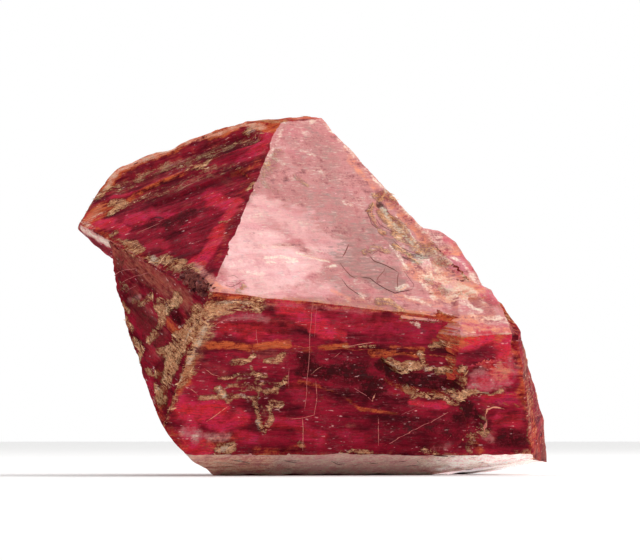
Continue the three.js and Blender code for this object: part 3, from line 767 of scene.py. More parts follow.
# Where points lie on a face: across and up from its middle, and along and over its growth lines,
# which are across and up turned by the lines' slope.
def facePlace(number, points):
    across, up = points @ acrosses[number], points @ ups[number]
    turn = math.radians(grainOf(number)[0])
    along = across * math.cos(turn) + up * math.sin(turn)
    over = up * math.cos(turn) - across * math.sin(turn)
    return across, up, along, over


# A finish's level at points on a face: a mark is its strength times a fall from 1 to 0 with
# distance over half width, which wanders by a noise drawn out along the growth lines.
def markLevel(number, points, finish):
    across, up, along, over = facePlace(number, points)
    name, seed = rootName(number), finishes.index(finish)
    if name not in faceMarks:
        level = plainFaces.get(name, plainLevels).get(finish, 0.0)
        patches = roughNoise(points, *patchNoise, 10 * seed)
        return level * np.maximum(1 + body["patchiness"] * patches, 0)
    stretchAlong, stretchOver = body["markStretch"]
    apart = np.full(len(along), seed * marksApart)
    flat = np.stack([along * stretchAlong, over * stretchOver, apart], 1)
    wander = roughNoise(flat, *markNoise, seed)
    level = np.full(len(points), groundLevels.get(name, {}).get(finish, 0.0))
    for halfWidth, strength, chain in strokes.get((name, finish), []):
        reach = chainDistance(across, up, chain) / halfWidth
        level = np.maximum(level, strength * smoothStep(1.5, 0.5, reach + wander))
    return level


# Height of a face above its plane, in mm: layers along its growth lines as rounded steps of a
# stretched noise, broken roughness and crust, less each ledge's depth inside its outline.
def faceHeight(number, points):
    across, up, along, over = facePlace(number, points)
    _, stepHeight, roughHeight = grainOf(number)
    name = rootName(number)
    seed = faceNumber[name]
    apart = np.full(len(along), seed * layersApart)
    flat = np.stack([along / body["layerLength"], over / body["layerWidth"], apart], 1)
    layers = roughNoise(flat, *layerNoise, seed) * body["layerSteps"]
    stairs = np.floor(layers) + smoothStep(0.7, 1.0, layers - np.floor(layers))
    height = stepHeight * stairs * body["stepShare"]
    height += roughHeight * roughNoise(points, *noises["rough"])
    lumps = np.maximum(roughNoise(points, *noises["lumps"]) + body["crustGaps"], 0)
    height += body["crustHeight"] * lumps * markLevel(number, points, "crust")
    wander = body["ledgeWander"] * roughNoise(points, *noises["ledgeEdges"])
    for ledgeFace, depth, outline in ledges:
        if ledgeFace == name:
            inside = insideOutline(across, up, outline) + wander
            height -= depth * smoothStep(0, body["ledgeWall"], inside)
    return height


halfCell = math.pi / 4 / body["steps"]


# Distance from the heart along each direction u: a part ends at its nearest face, the least of
# (distance + height) / (outward . u), and the crystal at its furthest part, the most of those.
# Also gives the face that bounds it, how much further the next face is, that next face, and the
# plane through the heart that holds the edge between the two, or the end of a part at its inner face.
def crystalRadius(directions):
    slope = directions @ outwards.T
    flat = np.where(slope > 1e-6, distances / np.maximum(slope, 1e-6), 1e9)
    heights = np.zeros_like(flat)
    close = np.zeros(flat.shape, bool)
    mainEnd = flat[:, partFaces["main"]].min(axis=1)
    (partShare, partGap), (faceShare, faceGap) = body["nearPart"], body["nearFace"]
    for faces in partFaces.values():
        end = flat[:, faces].min(axis=1)
        ends = (end > partShare * mainEnd - partGap) & (end < 1e8)
        close[:, faces] |= ends[:, None] & (flat[:, faces] < faceShare * end[:, None] + faceGap)
    for number in range(len(faceNames)):
        rows = np.flatnonzero(close[:, number])
        if len(rows):
            heights[rows, number] = faceHeight(number, directions[rows] * flat[rows, number][:, None])
    reach = np.where(slope > 1e-6, (distances + heights) / np.maximum(slope, 1e-6), 1e9)
    radius = np.full(len(directions), -1.0)
    face, nextFace = np.zeros((2, len(directions)), int)
    gap = np.zeros(len(directions))
    ending = np.zeros((len(directions), 3))
    for partName, faces in partFaces.items():
        picked = np.array(faces)[np.argsort(reach[:, faces], axis=1)[:, :2]]
        ends = np.take_along_axis(reach, picked, axis=1)
        wins = ends[:, 0] > radius + 1e-9
        if partName in innerFace:
            inner = innerFace[partName]
            limit = distances[inner] / ends[:, 0]
            near = wins & (np.abs(slope[:, inner] - limit) < halfCell)
            plane = outwards[inner] - (limit - 1e-4)[:, None] * directions
            ending = np.where(near[:, None], plane, ending)
            wins &= slope[:, inner] < limit
        radius = np.where(wins, ends[:, 0], radius)
        gap = np.where(wins, ends[:, 1] - ends[:, 0], gap)
        face = np.where(wins, picked[:, 0], face)
        nextFace = np.where(wins, picked[:, 1], nextFace)
    rows = np.arange(len(directions))
    near, far = (outwards[f] / (distances[f] + heights[rows, f])[:, None] for f in (face, nextFace))
    ends = np.any(ending != 0, axis=1)[:, None]
    return radius, face, gap, nextFace, np.where(ends, ending, near - far)


# Six square grids of directions, even by angle: (1, tan a, tan b) for a, b from -45 to 45 degrees.
def directionGrids(steps):
    tangent = np.tan(np.linspace(-math.pi / 4, math.pi / 4, steps + 1))
    a, b = np.meshgrid(tangent, tangent, indexing="ij")
    i, j = np.meshgrid(np.arange(steps), np.arange(steps), indexing="ij")
    width = steps + 1
    cell = np.stack([i * width + j, (i + 1) * width + j, (i + 1) * width + j + 1, i * width + j + 1], -1)
    points, cells = [], []
    for axis in range(3):
        for sign in (1, -1):
            grid = np.empty((width, width, 3))
            first, second = ((axis + 1) % 3, (axis + 2) % 3)[::sign]
            grid[..., axis], grid[..., first], grid[..., second] = sign, a, b
            cells.append(cell.reshape(-1, 4) + len(points) * width * width)
            points.append(grid.reshape(-1, 3))
    points = unit(np.concatenate(points))
    _, firstUse, merged = np.unique(np.round(points, 7), axis=0, return_index=True, return_inverse=True)
    return points[firstUse], merged.reshape(-1)[np.concatenate(cells)]


# A new object in the scene.
def addObject(name, data):
    made = bpy.data.objects.new(name, data)
    bpy.context.scene.collection.objects.link(made)
    return made


# A piece of the crystal, from its corners in mm from the heart and the corners of its faces.
def makePiece(name, corners, faces, smooth):
    mesh = bpy.data.meshes.new(name)
    mesh.vertices.add(len(corners))
    places = np.ascontiguousarray((corners + heart) * mm, dtype=np.float32)
    mesh.vertices.foreach_set("co", places.ravel())
    mesh.loops.add(faces.size)
    mesh.loops.foreach_set("vertex_index", faces.astype(np.int32).ravel())
    mesh.polygons.add(len(faces))
    mesh.polygons.foreach_set("loop_start", np.arange(0, faces.size, faces.shape[1], dtype=np.int32))
    mesh.polygons.foreach_set("use_smooth", np.full(len(faces), smooth))
    mesh.update(calc_edges=True)
    mesh.validate()
    piece = addObject(name, mesh)
    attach(piece, "root")
    return piece


# A value at each point or each face corner, kept on the mesh for its material to read.
def addAttribute(piece, name, values, domain="POINT"):
    kind, part = ("FLOAT_VECTOR", "vector") if values.ndim == 2 else ("FLOAT", "value")
    attribute = piece.data.attributes.new(name, kind, domain)
    attribute.data.foreach_set(part, values.astype(np.float32).ravel())


# Directions within half a cell of an edge slide onto it, so that edges stay sharp.
directions, cells = directionGrids(body["steps"])
for _ in range(2):
    edge = unit(crystalRadius(directions)[4])
    offset = np.sum(edge * directions, axis=1)
    snapped = np.abs(offset) < halfCell
    directions = unit(directions - np.where(snapped, offset, 0)[:, None] * edge)
radius, face, gap, nextFace, _ = crystalRadius(directions)
print("crystal surface worked out:", len(directions), "points")

# Wear along the edges, deeper where a noise makes chips.
points = directions * radius[:, None]
nearEdge = np.exp(-(gap / body["edgeWidth"]) ** 2)
chips = np.maximum(roughNoise(points, *noises["chips"]) + body["chipStart"], 0)
radius = radius - body["edgeWear"] * nearEdge * (body["evenWear"] + body["chipWear"] * chips)
points = directions * radius[:, None]
points[:, 2] = np.maximum(points[:, 2], -heart[2])

# Each cell is split along the diagonal that follows an edge, or else along the shorter one.
p0, p1, p2, p3 = (points[cells[:, k]] for k in range(4))
s0, s1, s2, s3 = (snapped[cells[:, k]] for k in range(4))
useFirst = np.linalg.norm(p2 - p0, axis=1) <= np.linalg.norm(p3 - p1, axis=1)
useFirst = np.where((s0 & s2) != (s1 & s3), s0 & s2, useFirst)
triangles = np.where(useFirst[:, None], cells[:, [0, 1, 2, 0, 2, 3]], cells[:, [0, 1, 3, 1, 2, 3]])
triangles = triangles.reshape(-1, 3)

# The face that each triangle belongs to, found at its middle.
middles = points[triangles].mean(axis=1)
owner = crystalRadius(unit(middles))[1]

# Finishes at every triangle corner: the marks of the triangle's face, and what lines its edges.
levels = {finish: np.zeros(triangles.shape) for finish in finishes}
growth = np.zeros(triangles.shape + (3,))
for number in np.unique(owner):
    own = np.flatnonzero(owner == number)
    used, where = np.unique(triangles[own], return_inverse=True)
    where = where.reshape(-1, 3)
    _, _, along, over = facePlace(number, points[used])
    apart = np.full(len(along), growthApart * faceNumber[rootName(number)])
    growth[own] = np.stack([along, over, apart], 1)[where]
    for finish in finishes:
        levels[finish][own] = markLevel(number, points[used], finish)[where]
seamLevel = {finish: np.zeros(len(points)) for finish in finishes}
even, uneven = body["seamShare"]
uneven = even + uneven * roughNoise(points, *noises["seams"])
nearSeam = np.exp(-(gap / body["seamWidth"]) ** 2) * uneven
rootNames = np.array([rootName(number) for number in range(len(faceNames))])
faceList, nextList = rootNames[face], rootNames[nextFace]
listed = np.zeros(len(points), bool)
for (first, second), lines in seams.items():
    here = ((faceList == first) & (nextList == second)) | ((faceList == second) & (nextList == first))
    listed |= here
    for finish, strength in lines.items():
        seamLevel[finish][here] = strength * nearSeam[here]
for finish, strength in otherSeams.items():
    seamLevel[finish][~listed] = strength * nearSeam[~listed]

# A wall is a triangle that is turned well away from its face.
a, b, c = (points[triangles[:, k]] for k in range(3))
normal = np.cross(b - a, c - a)
facing = np.sum(unit(normal) * outwards[owner], axis=1)
isWall = smoothStep(*body["wallTurn"], facing)[:, None]
for finish, strength in stepWalls.items():
    levels[finish] = np.maximum(levels[finish], strength * isWall)

crystal = makePiece("crystal", points, triangles, True)
crystal.data.set_sharp_from_angle(angle=math.radians(body["sharpEdge"]))
addAttribute(crystal, "growth", growth.reshape(-1, 3), "CORNER")
for finish in finishes:
    levels[finish] = np.maximum(levels[finish], seamLevel[finish][triangles])
    addAttribute(crystal, finish, levels[finish].ravel(), "CORNER")
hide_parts("spinel_crystal")
print("crystal made:", len(triangles), "triangles")

crustGrains = dict(
    count=9000,
    smallest=0.010,       # mm, half width
    largest=0.045,
    longest=5.5,          # times its half width, along the growth lines
    sunk=0.45,            # how much of its height lies in the crystal
    fineness=4,           # the power of a random number that sets a grain's size
    turned=25,            # degrees, how far a grain turns from the growth lines
    patches=0.35,         # how far patches and spots raise and lower the crust's level
    spots=0.5,
    grown=(0.4, 1.1),     # the levels where grains start and are thickest
    clumping=1.5,         # the power of the share between them
    clearOfBase=0.2,      # mm, the base's rim has none
    seed=5,
)
darkGrain = dict(
    face="upperLeft",
    middle=(-0.8, -5.2),      # mm, across and up from the face's middle
    spread=(0.5, 0.17),       # mm, along its edge and over it
    slope=-34,                # degrees
    smallest=0.05,            # mm, half width
    largest=0.14,
    longest=1.8,              # times its half width
    sunk=0.3,
    count=260,
    seed=9,
)

# A grain is an octahedron: its six corners and eight faces.
grainCorners = np.array([(1, 0, 0), (-1, 0, 0), (0, 1, 0), (0, -1, 0), (0, 0, 1), (0, 0, -1)])
grainFaces = np.array([(0, 2, 4), (2, 1, 4), (1, 3, 4), (3, 0, 4),
                       (2, 0, 5), (1, 2, 5), (3, 1, 5), (0, 3, 5)])
# How far a grain's corners are pushed about, over its half size, and the half sizes along it,
# across it and outward, from the least to the most.
pushed, leastSize, mostSize = 0.35, (1, 0.5, 0.4), (1.0, 0.8)


# Grains on the crystal: each corner is the grain's centre plus the octahedron's corner, pushed
# about, times the half sizes along the growth lines, across them and outward.
def grainsPiece(name, kind, spots, outward, along, sizes, rng):
    along = unit(along - np.sum(along * outward, axis=1)[:, None] * outward)
    across = np.cross(outward, along)
    halfSizes = sizes[:, None] * rng.uniform(leastSize, (kind["longest"], *mostSize), (len(sizes), 3))
    centres = spots + outward * halfSizes[:, 2:] * (1 - 2 * kind["sunk"])
    local = (grainCorners + rng.uniform(-pushed, pushed, (len(sizes), 6, 3))) * halfSizes[:, None, :]
    corners = (centres[:, None] + local[..., :1] * along[:, None] + local[..., 1:2] * across[:, None]
               + local[..., 2:] * outward[:, None])
    faces = grainFaces[None] + 6 * np.arange(len(sizes))[:, None, None]
    piece = makePiece(name, corners.reshape(-1, 3), faces.reshape(-1, 3), False)
    addAttribute(piece, "shade", np.repeat(rng.uniform(0, 1, len(sizes)), 6))
    print(name, "made:", len(sizes), "grains")
    return piece


# Directions along a face, at an angle from its across direction.
def alongFace(numbers, degrees):
    turn = np.radians(degrees)[:, None]
    return acrosses[numbers] * np.cos(turn) + ups[numbers] * np.sin(turn)


# Places on the face planes, by number and in mm across and up from the middle of each.
def onPlane(number, across, up):
    return distances[number] * outwards[number] + across * acrosses[number] + up * ups[number]


# Points moved out or in, along the line from the heart, onto the crystal's surface.
def onSurface(spots):
    return unit(spots) * crystalRadius(unit(spots))[0][:, None]


# Crust grains lie over the crystal's triangles, more likely where one is large and its crust
# thick: the running sum of area times thickness is searched for random numbers.
rng = np.random.default_rng(crustGrains["seed"])
crustLevel = levels["crust"].mean(axis=1)
crustLevel += crustGrains["patches"] * roughNoise(middles, *noises["crustPatches"])
crustLevel += crustGrains["spots"] * roughNoise(middles, *noises["crustSpots"])
thickness = smoothStep(*crustGrains["grown"], crustLevel) ** crustGrains["clumping"]
thickness = np.where(middles[:, 2] > -heart[2] + crustGrains["clearOfBase"], thickness, 0)
chance = np.cumsum(np.linalg.norm(normal, axis=1) * thickness)
picked = np.searchsorted(chance, rng.uniform(0, chance[-1], crustGrains["count"]))
u, v = rng.uniform(0, 1, (2, len(picked), 1))
u, v = np.where(u + v > 1, 1 - u, u), np.where(u + v > 1, 1 - v, v)
spots = a[picked] * (1 - u - v) + b[picked] * u + c[picked] * v
slopes = np.array([grainOf(number)[0] for number in range(len(faceNames))])[owner[picked]]
along = alongFace(owner[picked], slopes + crustGrains["turned"] * rng.standard_normal(len(picked)))
spread = crustGrains["largest"] - crustGrains["smallest"]
sizes = crustGrains["smallest"] + spread * rng.uniform(0, 1, len(picked)) ** crustGrains["fineness"]
crust = grainsPiece("crust", crustGrains, spots, unit(normal[picked]), along, sizes, rng)

# Dark grain lies about its middle by the normal distribution, at most twice its spread away.
rng = np.random.default_rng(darkGrain["seed"])
number = faceNumber[darkGrain["face"]]
place = rng.standard_normal((darkGrain["count"], 2)).clip(-2, 2) * darkGrain["spread"]
slope = math.radians(darkGrain["slope"])
across = darkGrain["middle"][0] + place[:, :1] * math.cos(slope) - place[:, 1:] * math.sin(slope)
up = darkGrain["middle"][1] + place[:, :1] * math.sin(slope) + place[:, 1:] * math.cos(slope)
spots = onSurface(onPlane(number, across, up))
sizes = rng.uniform(darkGrain["smallest"], darkGrain["largest"], len(spots))
along = alongFace(np.full(len(spots), number), rng.uniform(0, 180, len(spots)))
outward = np.tile(unit(outwards[[number]]), (len(spots), 1))
darkSpot = grainsPiece("dark_grain", darkGrain, spots, outward, along, sizes, rng)

# Needles, healed cracks and flecks, placed as marks are: tone from dark to pale, half width, points.
threads = dict(
    upperRight=[
        (0.22, 1.4, (349, 243), (345, 252), (342, 258)),
        (0.15, 1.2, (339, 261), (344, 268), (350, 275), (358, 279)),
        (0.1, 1.2, (341, 278), (347, 286), (355, 292), (363, 297)),
        (0.05, 1.3, (360, 277), (370, 278), (376, 283), (386, 289), (395, 293), (404, 291), (413, 289)),
        (0.22, 1, (376, 283), (378, 277), (384, 271), (386, 266)),
        (0.1, 1.4, (368, 254), (374, 261), (385, 265), (393, 269), (398, 273)),
        (0.22, 1.2, (398, 272), (397, 281), (398, 290)),
        (0.2, 0.9, (402, 269), (409, 278), (414, 285), (412, 290)),
        (0.2, 0.9, (364, 250), (372, 254), (378, 250), (388, 255)),
        (0.1, 1, (373, 203), (368, 213), (372, 224), (382, 232)),
        (0.1, 0.9, (379, 199), (376, 210), (382, 221), (394, 228), (405, 233)),
        (0.2, 0.9, (388, 197), (390, 207), (399, 216), (410, 222)),
        (0.15, 1, (395, 236), (404, 245), (416, 250), (429, 254)),
        (0.9, 0.9, (393, 230), (401, 238), (415, 243), (428, 250)),
        (1, 1.2, (398, 291), (404, 288), (408, 284)),
        (0.9, 0.9, (372, 207), (371, 216), (376, 225), (386, 232), (396, 236)),
        (0.22, 0.9, (222, 284), (231, 287), (238, 284), (243, 279)),
        (0.22, 0.9, (226, 277), (234, 275), (240, 279)), (0.9, 0.8, (297, 254), (310, 257), (332, 261)),
        (0.85, 0.7, (345, 200), (353, 205), (358, 209)),
    ],
    lowerRight=[
        (0.75, 0.8, (313, 303), (310, 330), (309, 360), (306, 395), (304, 412)),
        (0.7, 0.6, (317, 305), (314, 340)), (0.85, 0.9, (302, 416), (303, 432), (303, 450)),
        (0.7, 0.8, (288, 368), (288, 392)),
        (0.8, 0.8, (316, 382), (317, 400), (314, 416), (300, 419), (288, 419)),
        (0.9, 0.9, (229, 406), (218, 414), (207, 421)), (0.6, 0.9, (401, 416), (410, 411), (419, 407)),
        (0.75, 0.9, (384, 446), (400, 437), (418, 428), (435, 419), (450, 411)),
        (0.85, 0.8, (310, 377), (318, 371), (324, 368)), (0.8, 0.8, (333, 361), (344, 352)),
        (0.7, 0.8, (354, 390), (366, 397), (373, 402)), (1, 1.2, (371, 403), (378, 396)),
        (0.8, 0.8, (379, 417), (378, 446)), (1, 1.2, (485, 414), (487, 409), (494, 407), (504, 409)),
        (0.8, 1, (485, 414), (484, 424), (485, 433)), (0.7, 0.7, (256, 326), (258, 350)),
        (0.7, 0.8, (208, 334), (216, 323), (232, 318), (250, 318), (268, 322)),
        (0.85, 0.8, (205, 368), (213, 375), (222, 377)), (0.85, 0.8, (182, 385), (190, 391), (198, 397)),
        (1, 1, (448, 440), (451, 434)), (0.8, 0.9, (345, 346), (360, 344), (375, 342)),
    ],
    upperLeft=[
        (0.75, 0.8, (135, 233), (148, 228), (160, 222)), (0.8, 0.8, (176, 192), (190, 184), (203, 178)),
        (0.7, 0.7, (160, 180), (178, 171)), (0.8, 0.7, (200, 148), (215, 142)),
    ],
    lowerLeft=[
        (0.75, 0.8, (113, 276), (125, 270), (138, 268)), (0.7, 0.8, (122, 283), (135, 276), (150, 272)),
        (0.6, 0.7, (125, 292), (140, 284)),
    ],
    bevel=[
        (0.04, 1.2, (231, 459), (241, 462)), (0.1, 1, (241, 464), (250, 465)),
        (0.1, 1, (258, 464), (266, 464)), (0.14, 0.9, (205, 461), (211, 461)),
        (0.16, 0.8, (206, 468), (220, 467), (238, 466)), (0.02, 1.3, (284, 461), (290, 462), (298, 463)),
        (0.06, 1.1, (284, 469), (292, 469)), (0.04, 1.2, (331, 461), (337, 464), (344, 465)),
        (0.1, 0.9, (351, 466), (358, 465)), (0.06, 1.1, (368, 463), (378, 464)),
        (0.1, 0.9, (392, 464), (398, 462)), (0.02, 1.3, (399, 461), (407, 462)),
        (0.06, 1.1, (408, 466), (416, 465), (421, 464)), (0.08, 1, (416, 460), (420, 463)),
        (0.06, 1.1, (436, 460), (442, 461)), (0.14, 0.8, (426, 464), (432, 464)),
        (0.04, 1.2, (443, 466), (450, 466)), (0.12, 0.9, (452, 457), (456, 457)),
        (0.1, 1, (455, 468), (462, 468)), (0.06, 1.1, (466, 470), (474, 470)),
        (0.08, 1, (471, 458), (476, 458)), (0.12, 0.9, (479, 462), (484, 462)),
        (0.1, 0.9, (318, 470), (322, 471)), (0.12, 0.8, (305, 458), (309, 458)),
        (0.12, 0.8, (300, 466), (306, 465)), (0.08, 1, (434, 456), (448, 457)),
    ],
)
threadForm = dict(
    step=0.07,          # mm between places along a thread
    wander=0.03,        # mm, how far it wanders
    noise=(0.5, 2, 500),
    apart=3.3,          # mm between the threads' places in that noise
    rise=0.35,          # height over half width
    foot=0.03,          # mm, how far its feet lie under the surface
    taper=0.3,          # mm over which its ends thin
)

# A thread is a low ridge on the surface. At places along its path it has two feet, a half width
# to each side, and a crown between them; each corner stands on the surface over its own spot.
drawnThreads = [(name, *thread) for name, drawn in threads.items() for thread in drawn]
spots, lifts, sections, tones, start = [], [], [], [], 0
for index, (name, tone, halfWidth, *path) in enumerate(drawnThreads):
    number = faceNumber[name]
    path = seenOn(name, path).round(2)
    along = np.concatenate([[0], np.cumsum(np.linalg.norm(np.diff(path, axis=0), axis=1))])
    here = np.linspace(0, along[-1], max(int(along[-1] / threadForm["step"]), 4))
    flat = np.stack([here, np.full(len(here), index * threadForm["apart"]), np.zeros(len(here))], 1)
    places = np.stack([np.interp(here, along, path[:, k])
                       + threadForm["wander"] * roughNoise(flat, *threadForm["noise"], 10 * k)
                       for k in range(2)], 1)
    headed = unit(np.gradient(places, axis=0))
    ends = np.minimum(here, along[-1] - here)
    width = halfWidth * pixelSize * smoothStep(-0.1, threadForm["taper"], ends)
    sideways = np.stack([-headed[:, 1], headed[:, 0]], 1)[:, None] * width[:, None, None]
    places = places[:, None] + np.array([-1, 1, 0])[None, :, None] * sideways
    spots.append(onPlane(number, places[..., :1], places[..., 1:]).reshape(-1, 3))
    lift = np.stack([np.full(len(here), -threadForm["foot"])] * 2 + [threadForm["rise"] * width], 1)
    lifts.append(outwards[number] * lift.reshape(-1, 1))
    ring = start + 3 * np.arange(len(here) - 1)[:, None, None]
    quad = np.array([[0, 2, 5, 3], [2, 1, 4, 5], [1, 0, 3, 4]])[None] + ring
    sections.append(np.concatenate([quad[..., [0, 1, 2]], quad[..., [0, 2, 3]]]).reshape(-1, 3))
    last = 3 * len(here)
    sections.append(start + np.array([[0, 1, 2], [last - 3, last - 1, last - 2]]))
    tones.append(np.full(last, tone))
    start += last
corners = onSurface(np.concatenate(spots)) + np.concatenate(lifts)
needles = makePiece("needles", corners, np.concatenate(sections), True)
addAttribute(needles, "tone", np.concatenate(tones))
print("needles made:", len(drawnThreads))


# A number in a node graph: arithmetic with it adds Math nodes.
class Number:
    def __init__(self, graph, socket):
        self.graph, self.socket = graph, socket

    def math(self, operation, *others):
        inputs = dict(enumerate((self,) + others))
        return self.graph.node("ShaderNodeMath", dict(operation=operation), inputs)

    def __add__(self, other):
        return self.math("ADD", other)

    def __sub__(self, other):
        return self.math("SUBTRACT", other)

    def __mul__(self, other):
        return self.math("MULTIPLY", other)

    def __rsub__(self, other):
        return self.math("MULTIPLY", -1.0).math("ADD", other)

    __radd__, __rmul__ = __add__, __mul__

    # 0 below low, 1 above high, and a smooth rise between.
    def rise(self, low, high):
        inputs = {"Value": self, "From Min": low, "From Max": high}
        return self.graph.node("ShaderNodeMapRange", dict(interpolation_type="SMOOTHSTEP"), inputs)


# A node graph, and the one way that nodes are added to it.
class Graph:
    def __init__(self, tree):
        self.tree = tree

    def connect(self, node, inputs):
        for name, value in inputs.items():
            if isinstance(value, Number):
                self.tree.links.new(value.socket, node.inputs[name])
            else:
                node.inputs[name].default_value = value

    def node(self, kind, settings, inputs, output=0):
        made = self.tree.nodes.new(kind)
        for name, value in settings.items():
            setattr(made, name, value)
        self.connect(made, inputs)
        return Number(self, made.outputs[output])


# A new material. Where it takes a colour, that is a name from the list below.
class Finish(Graph):
    def __init__(self, name):
        self.material = bpy.data.materials.new(name)
        self.material.use_nodes = True
        super().__init__(self.material.node_tree)

    # What the mesh carries under a name.
    def attribute(self, name, output="Fac"):
        return self.node("ShaderNodeAttribute", dict(attribute_name=name), {}, output)

    # Object coordinates in mm.
    def place(self):
        inputs = {0: self.node("ShaderNodeTexCoord", {}, {}, "Object"), "Scale": 1 / mm}
        return self.node("ShaderNodeVectorMath", dict(operation="SCALE"), inputs)

    # A vector with each part times its own factor.
    def stretch(self, vector, *factors):
        return self.node("ShaderNodeVectorMath", dict(operation="MULTIPLY"), {0: vector, 1: factors})

    def noise(self, vector, scale, detail, roughness=0.5):
        inputs = {"Vector": vector, "Scale": scale, "Detail": detail, "Roughness": roughness}
        return self.node("ShaderNodeTexNoise", {}, inputs, "Fac")

    # From one colour to another by a factor: the node's colour sockets are 6 and 7, and 2 comes out.
    def mix(self, factor, *ends):
        inputs = {0: factor}
        for slot, colour in zip((6, 7), ends):
            inputs[slot] = colour if isinstance(colour, Number) else (*colours[colour], 1)
        return self.node("ShaderNodeMix", dict(data_type="RGBA"), inputs, 2)

    def bump(self, height, distance):
        return self.node("ShaderNodeBump", {}, {"Height": height, "Distance": distance})

    # The shader's own sockets, and the material onto the piece.
    def finish(self, piece, **sockets):
        shader = self.tree.nodes["Principled BSDF"]
        self.connect(shader, {name.replace("_", " "): value for name, value in sockets.items()})
        piece.data.materials.append(self.material)


colours = dict(
    deepCrimson=(0.055, 0.001, 0.005),
    crimson=(0.44, 0.011, 0.036),
    magenta=(0.66, 0.026, 0.105),
    vividRed=(0.84, 0.034, 0.040),
    haze=(0.60, 0.13, 0.15),
    rose=(0.62, 0.14, 0.17),
    dustyPink=(0.61, 0.225, 0.215),
    # The first pale pink paints sheen and glints; the cream after it is also the colour of painted
    # highlights.
    highlightPink=(0.97, 0.52, 0.505),
    creamAndHighlight=(0.97, 0.78, 0.62),
    mauveGrey=(0.36, 0.18, 0.155),
    dustBrown=(0.42, 0.12, 0.085),
    rustBrown=(0.42, 0.06, 0.015),
    rustOrange=(0.92, 0.22, 0.075),
    peach=(0.97, 0.42, 0.26),
    crustOlive=(0.50, 0.18, 0.065),
    crustBeige=(1.0, 0.56, 0.30),
    darkMaroon=(0.022, 0.001, 0.001),
    ironBrown=(0.24, 0.058, 0.045),
    # The colour of the painted glow.
    paleLight=(0.78, 0.80, 0.82),
    unlit=(0, 0, 0),
    paper=(0.96, 0.955, 0.95),
    paperShade=(0.9312, 0.92635, 0.9215),
)

# The spinel: crimson in layers along its growth lines, lit red where it is thin, then each
# finish in turn, its level broken by noise.
spinel = Finish("spinel")
grown = spinel.attribute("growth", "Vector")
place = spinel.place()
layers = spinel.noise(spinel.stretch(grown, 0.35, 2.0, 1), 1.0, 4, 0.6)
fibres = spinel.noise(spinel.stretch(grown, 1.6, 9, 1), 1.0, 5, 0.7)
veins = spinel.noise(spinel.stretch(grown, 3.5, 20, 1), 1.0, 3, 0.6)
clouds = spinel.noise(place, 0.7, 4, 0.55)
blotches = spinel.noise(place, 2.6, 5, 0.65)
grit = spinel.noise(place, 12, 3, 0.7)
streaked = (layers * 0.45 + fibres * 0.55).rise(0.36, 0.64)
speckled = (blotches * 0.6 + grit * 0.4).rise(0.38, 0.62)
broken = streaked * 0.5 + speckled * 0.5 - 0.5


# Where a finish lies: its level, raised and lowered by the noise in proportion, from low to high.
def laidOn(name, breaking, low, high):
    return (spinel.attribute(name) * (1 + broken * breaking)).rise(low, high)


depth = (layers * 0.45 + fibres * 0.3 + clouds * 0.15 + blotches * 0.1).rise(0.37, 0.62)
red = spinel.mix(depth, "deepCrimson", "crimson")
glow = spinel.attribute("glow")
lit = spinel.mix((blotches * 0.4 + layers * 0.6).rise(0.38, 0.62), "vividRed", "magenta")
red = spinel.mix(laidOn("glow", 1.0, 0.1, 1.1) * 0.9, red, lit)
red = spinel.mix((fibres * 0.4 + veins * 0.6).rise(0.52, 0.62) * 0.5, red, "deepCrimson")
red = spinel.mix((veins * 0.75 + clouds * 0.25).rise(0.53, 0.66) * 0.38, red, "haze")

# Frost is partly a frosted film and partly a painted sheen: where it is clean, the face turns pale pink, as
# if mirroring bright light.
frostAndSheen = spinel.attribute("frostAndSheen")
paleSheen = (frostAndSheen + broken * 0.5 + (clouds - 0.5) * 1.0).rise(0.7, 1.65)
pink = spinel.mix(paleSheen, "dustyPink", "highlightPink")
pink = spinel.mix((glow * 1.3 + broken * 0.9).rise(0.1, 0.9), pink, "rose")
pink = spinel.mix((layers * 0.7 + clouds * 0.3).rise(0.5, 0.6) * 0.35, pink, "rose")
pink = spinel.mix((veins * 0.6 + blotches * 0.4).rise(0.53, 0.66) * 0.6, pink, "creamAndHighlight")
pink = spinel.mix((blotches * 0.6 + fibres * 0.4).rise(0.5, 0.64) * 0.3, pink, "mauveGrey")
tone = spinel.mix((frostAndSheen * (1 + broken) + (blotches - 0.5) * 0.8).rise(0.05, 0.8), red, pink)

dustColour = spinel.mix(frostAndSheen.rise(0.1, 0.6), "dustBrown", "mauveGrey")
dusty = laidOn("dust", 1.6, 0.1, 1.2) * (0.4 + fibres.rise(0.4, 0.6) * 0.5)
tone = spinel.mix(dusty, tone, dustColour)

rust = spinel.mix((fibres * 0.5 + grit * 0.3 + veins * 0.2).rise(0.36, 0.66), "rustBrown", "rustOrange")
rust = spinel.mix(frostAndSheen.rise(0.1, 0.6) * 0.7, rust, "peach")
tone = spinel.mix(laidOn("rust", 2.2, 0.15, 1.3) * 0.85, tone, rust)
tone = spinel.mix(laidOn("dark", 1.6, 0.2, 1.1) * 0.9, tone, "darkMaroon")

crustGrain = (grit * 0.6 + fibres * 0.4).rise(0.42, 0.58)
crusted = laidOn("crust", 2.6, 0.2, 1.0)
beige = crustGrain * 0.6 + blotches.rise(0.35, 0.6) * 0.4
tone = spinel.mix(crusted * (0.35 + crustGrain * 0.5), tone, spinel.mix(beige, "crustOlive", "crustBeige"))
# Cream: pale streaks, with painted highlights and sparkles laid on in the same pale colour.
creamAndHighlightLevel = laidOn("creamAndHighlight", 2.0, 0.2, 1.2) * (0.3 + (veins * 0.6 + grit * 0.4).rise(0.4, 0.56) * 0.65)
tone = spinel.mix(creamAndHighlightLevel, tone, "creamAndHighlight")

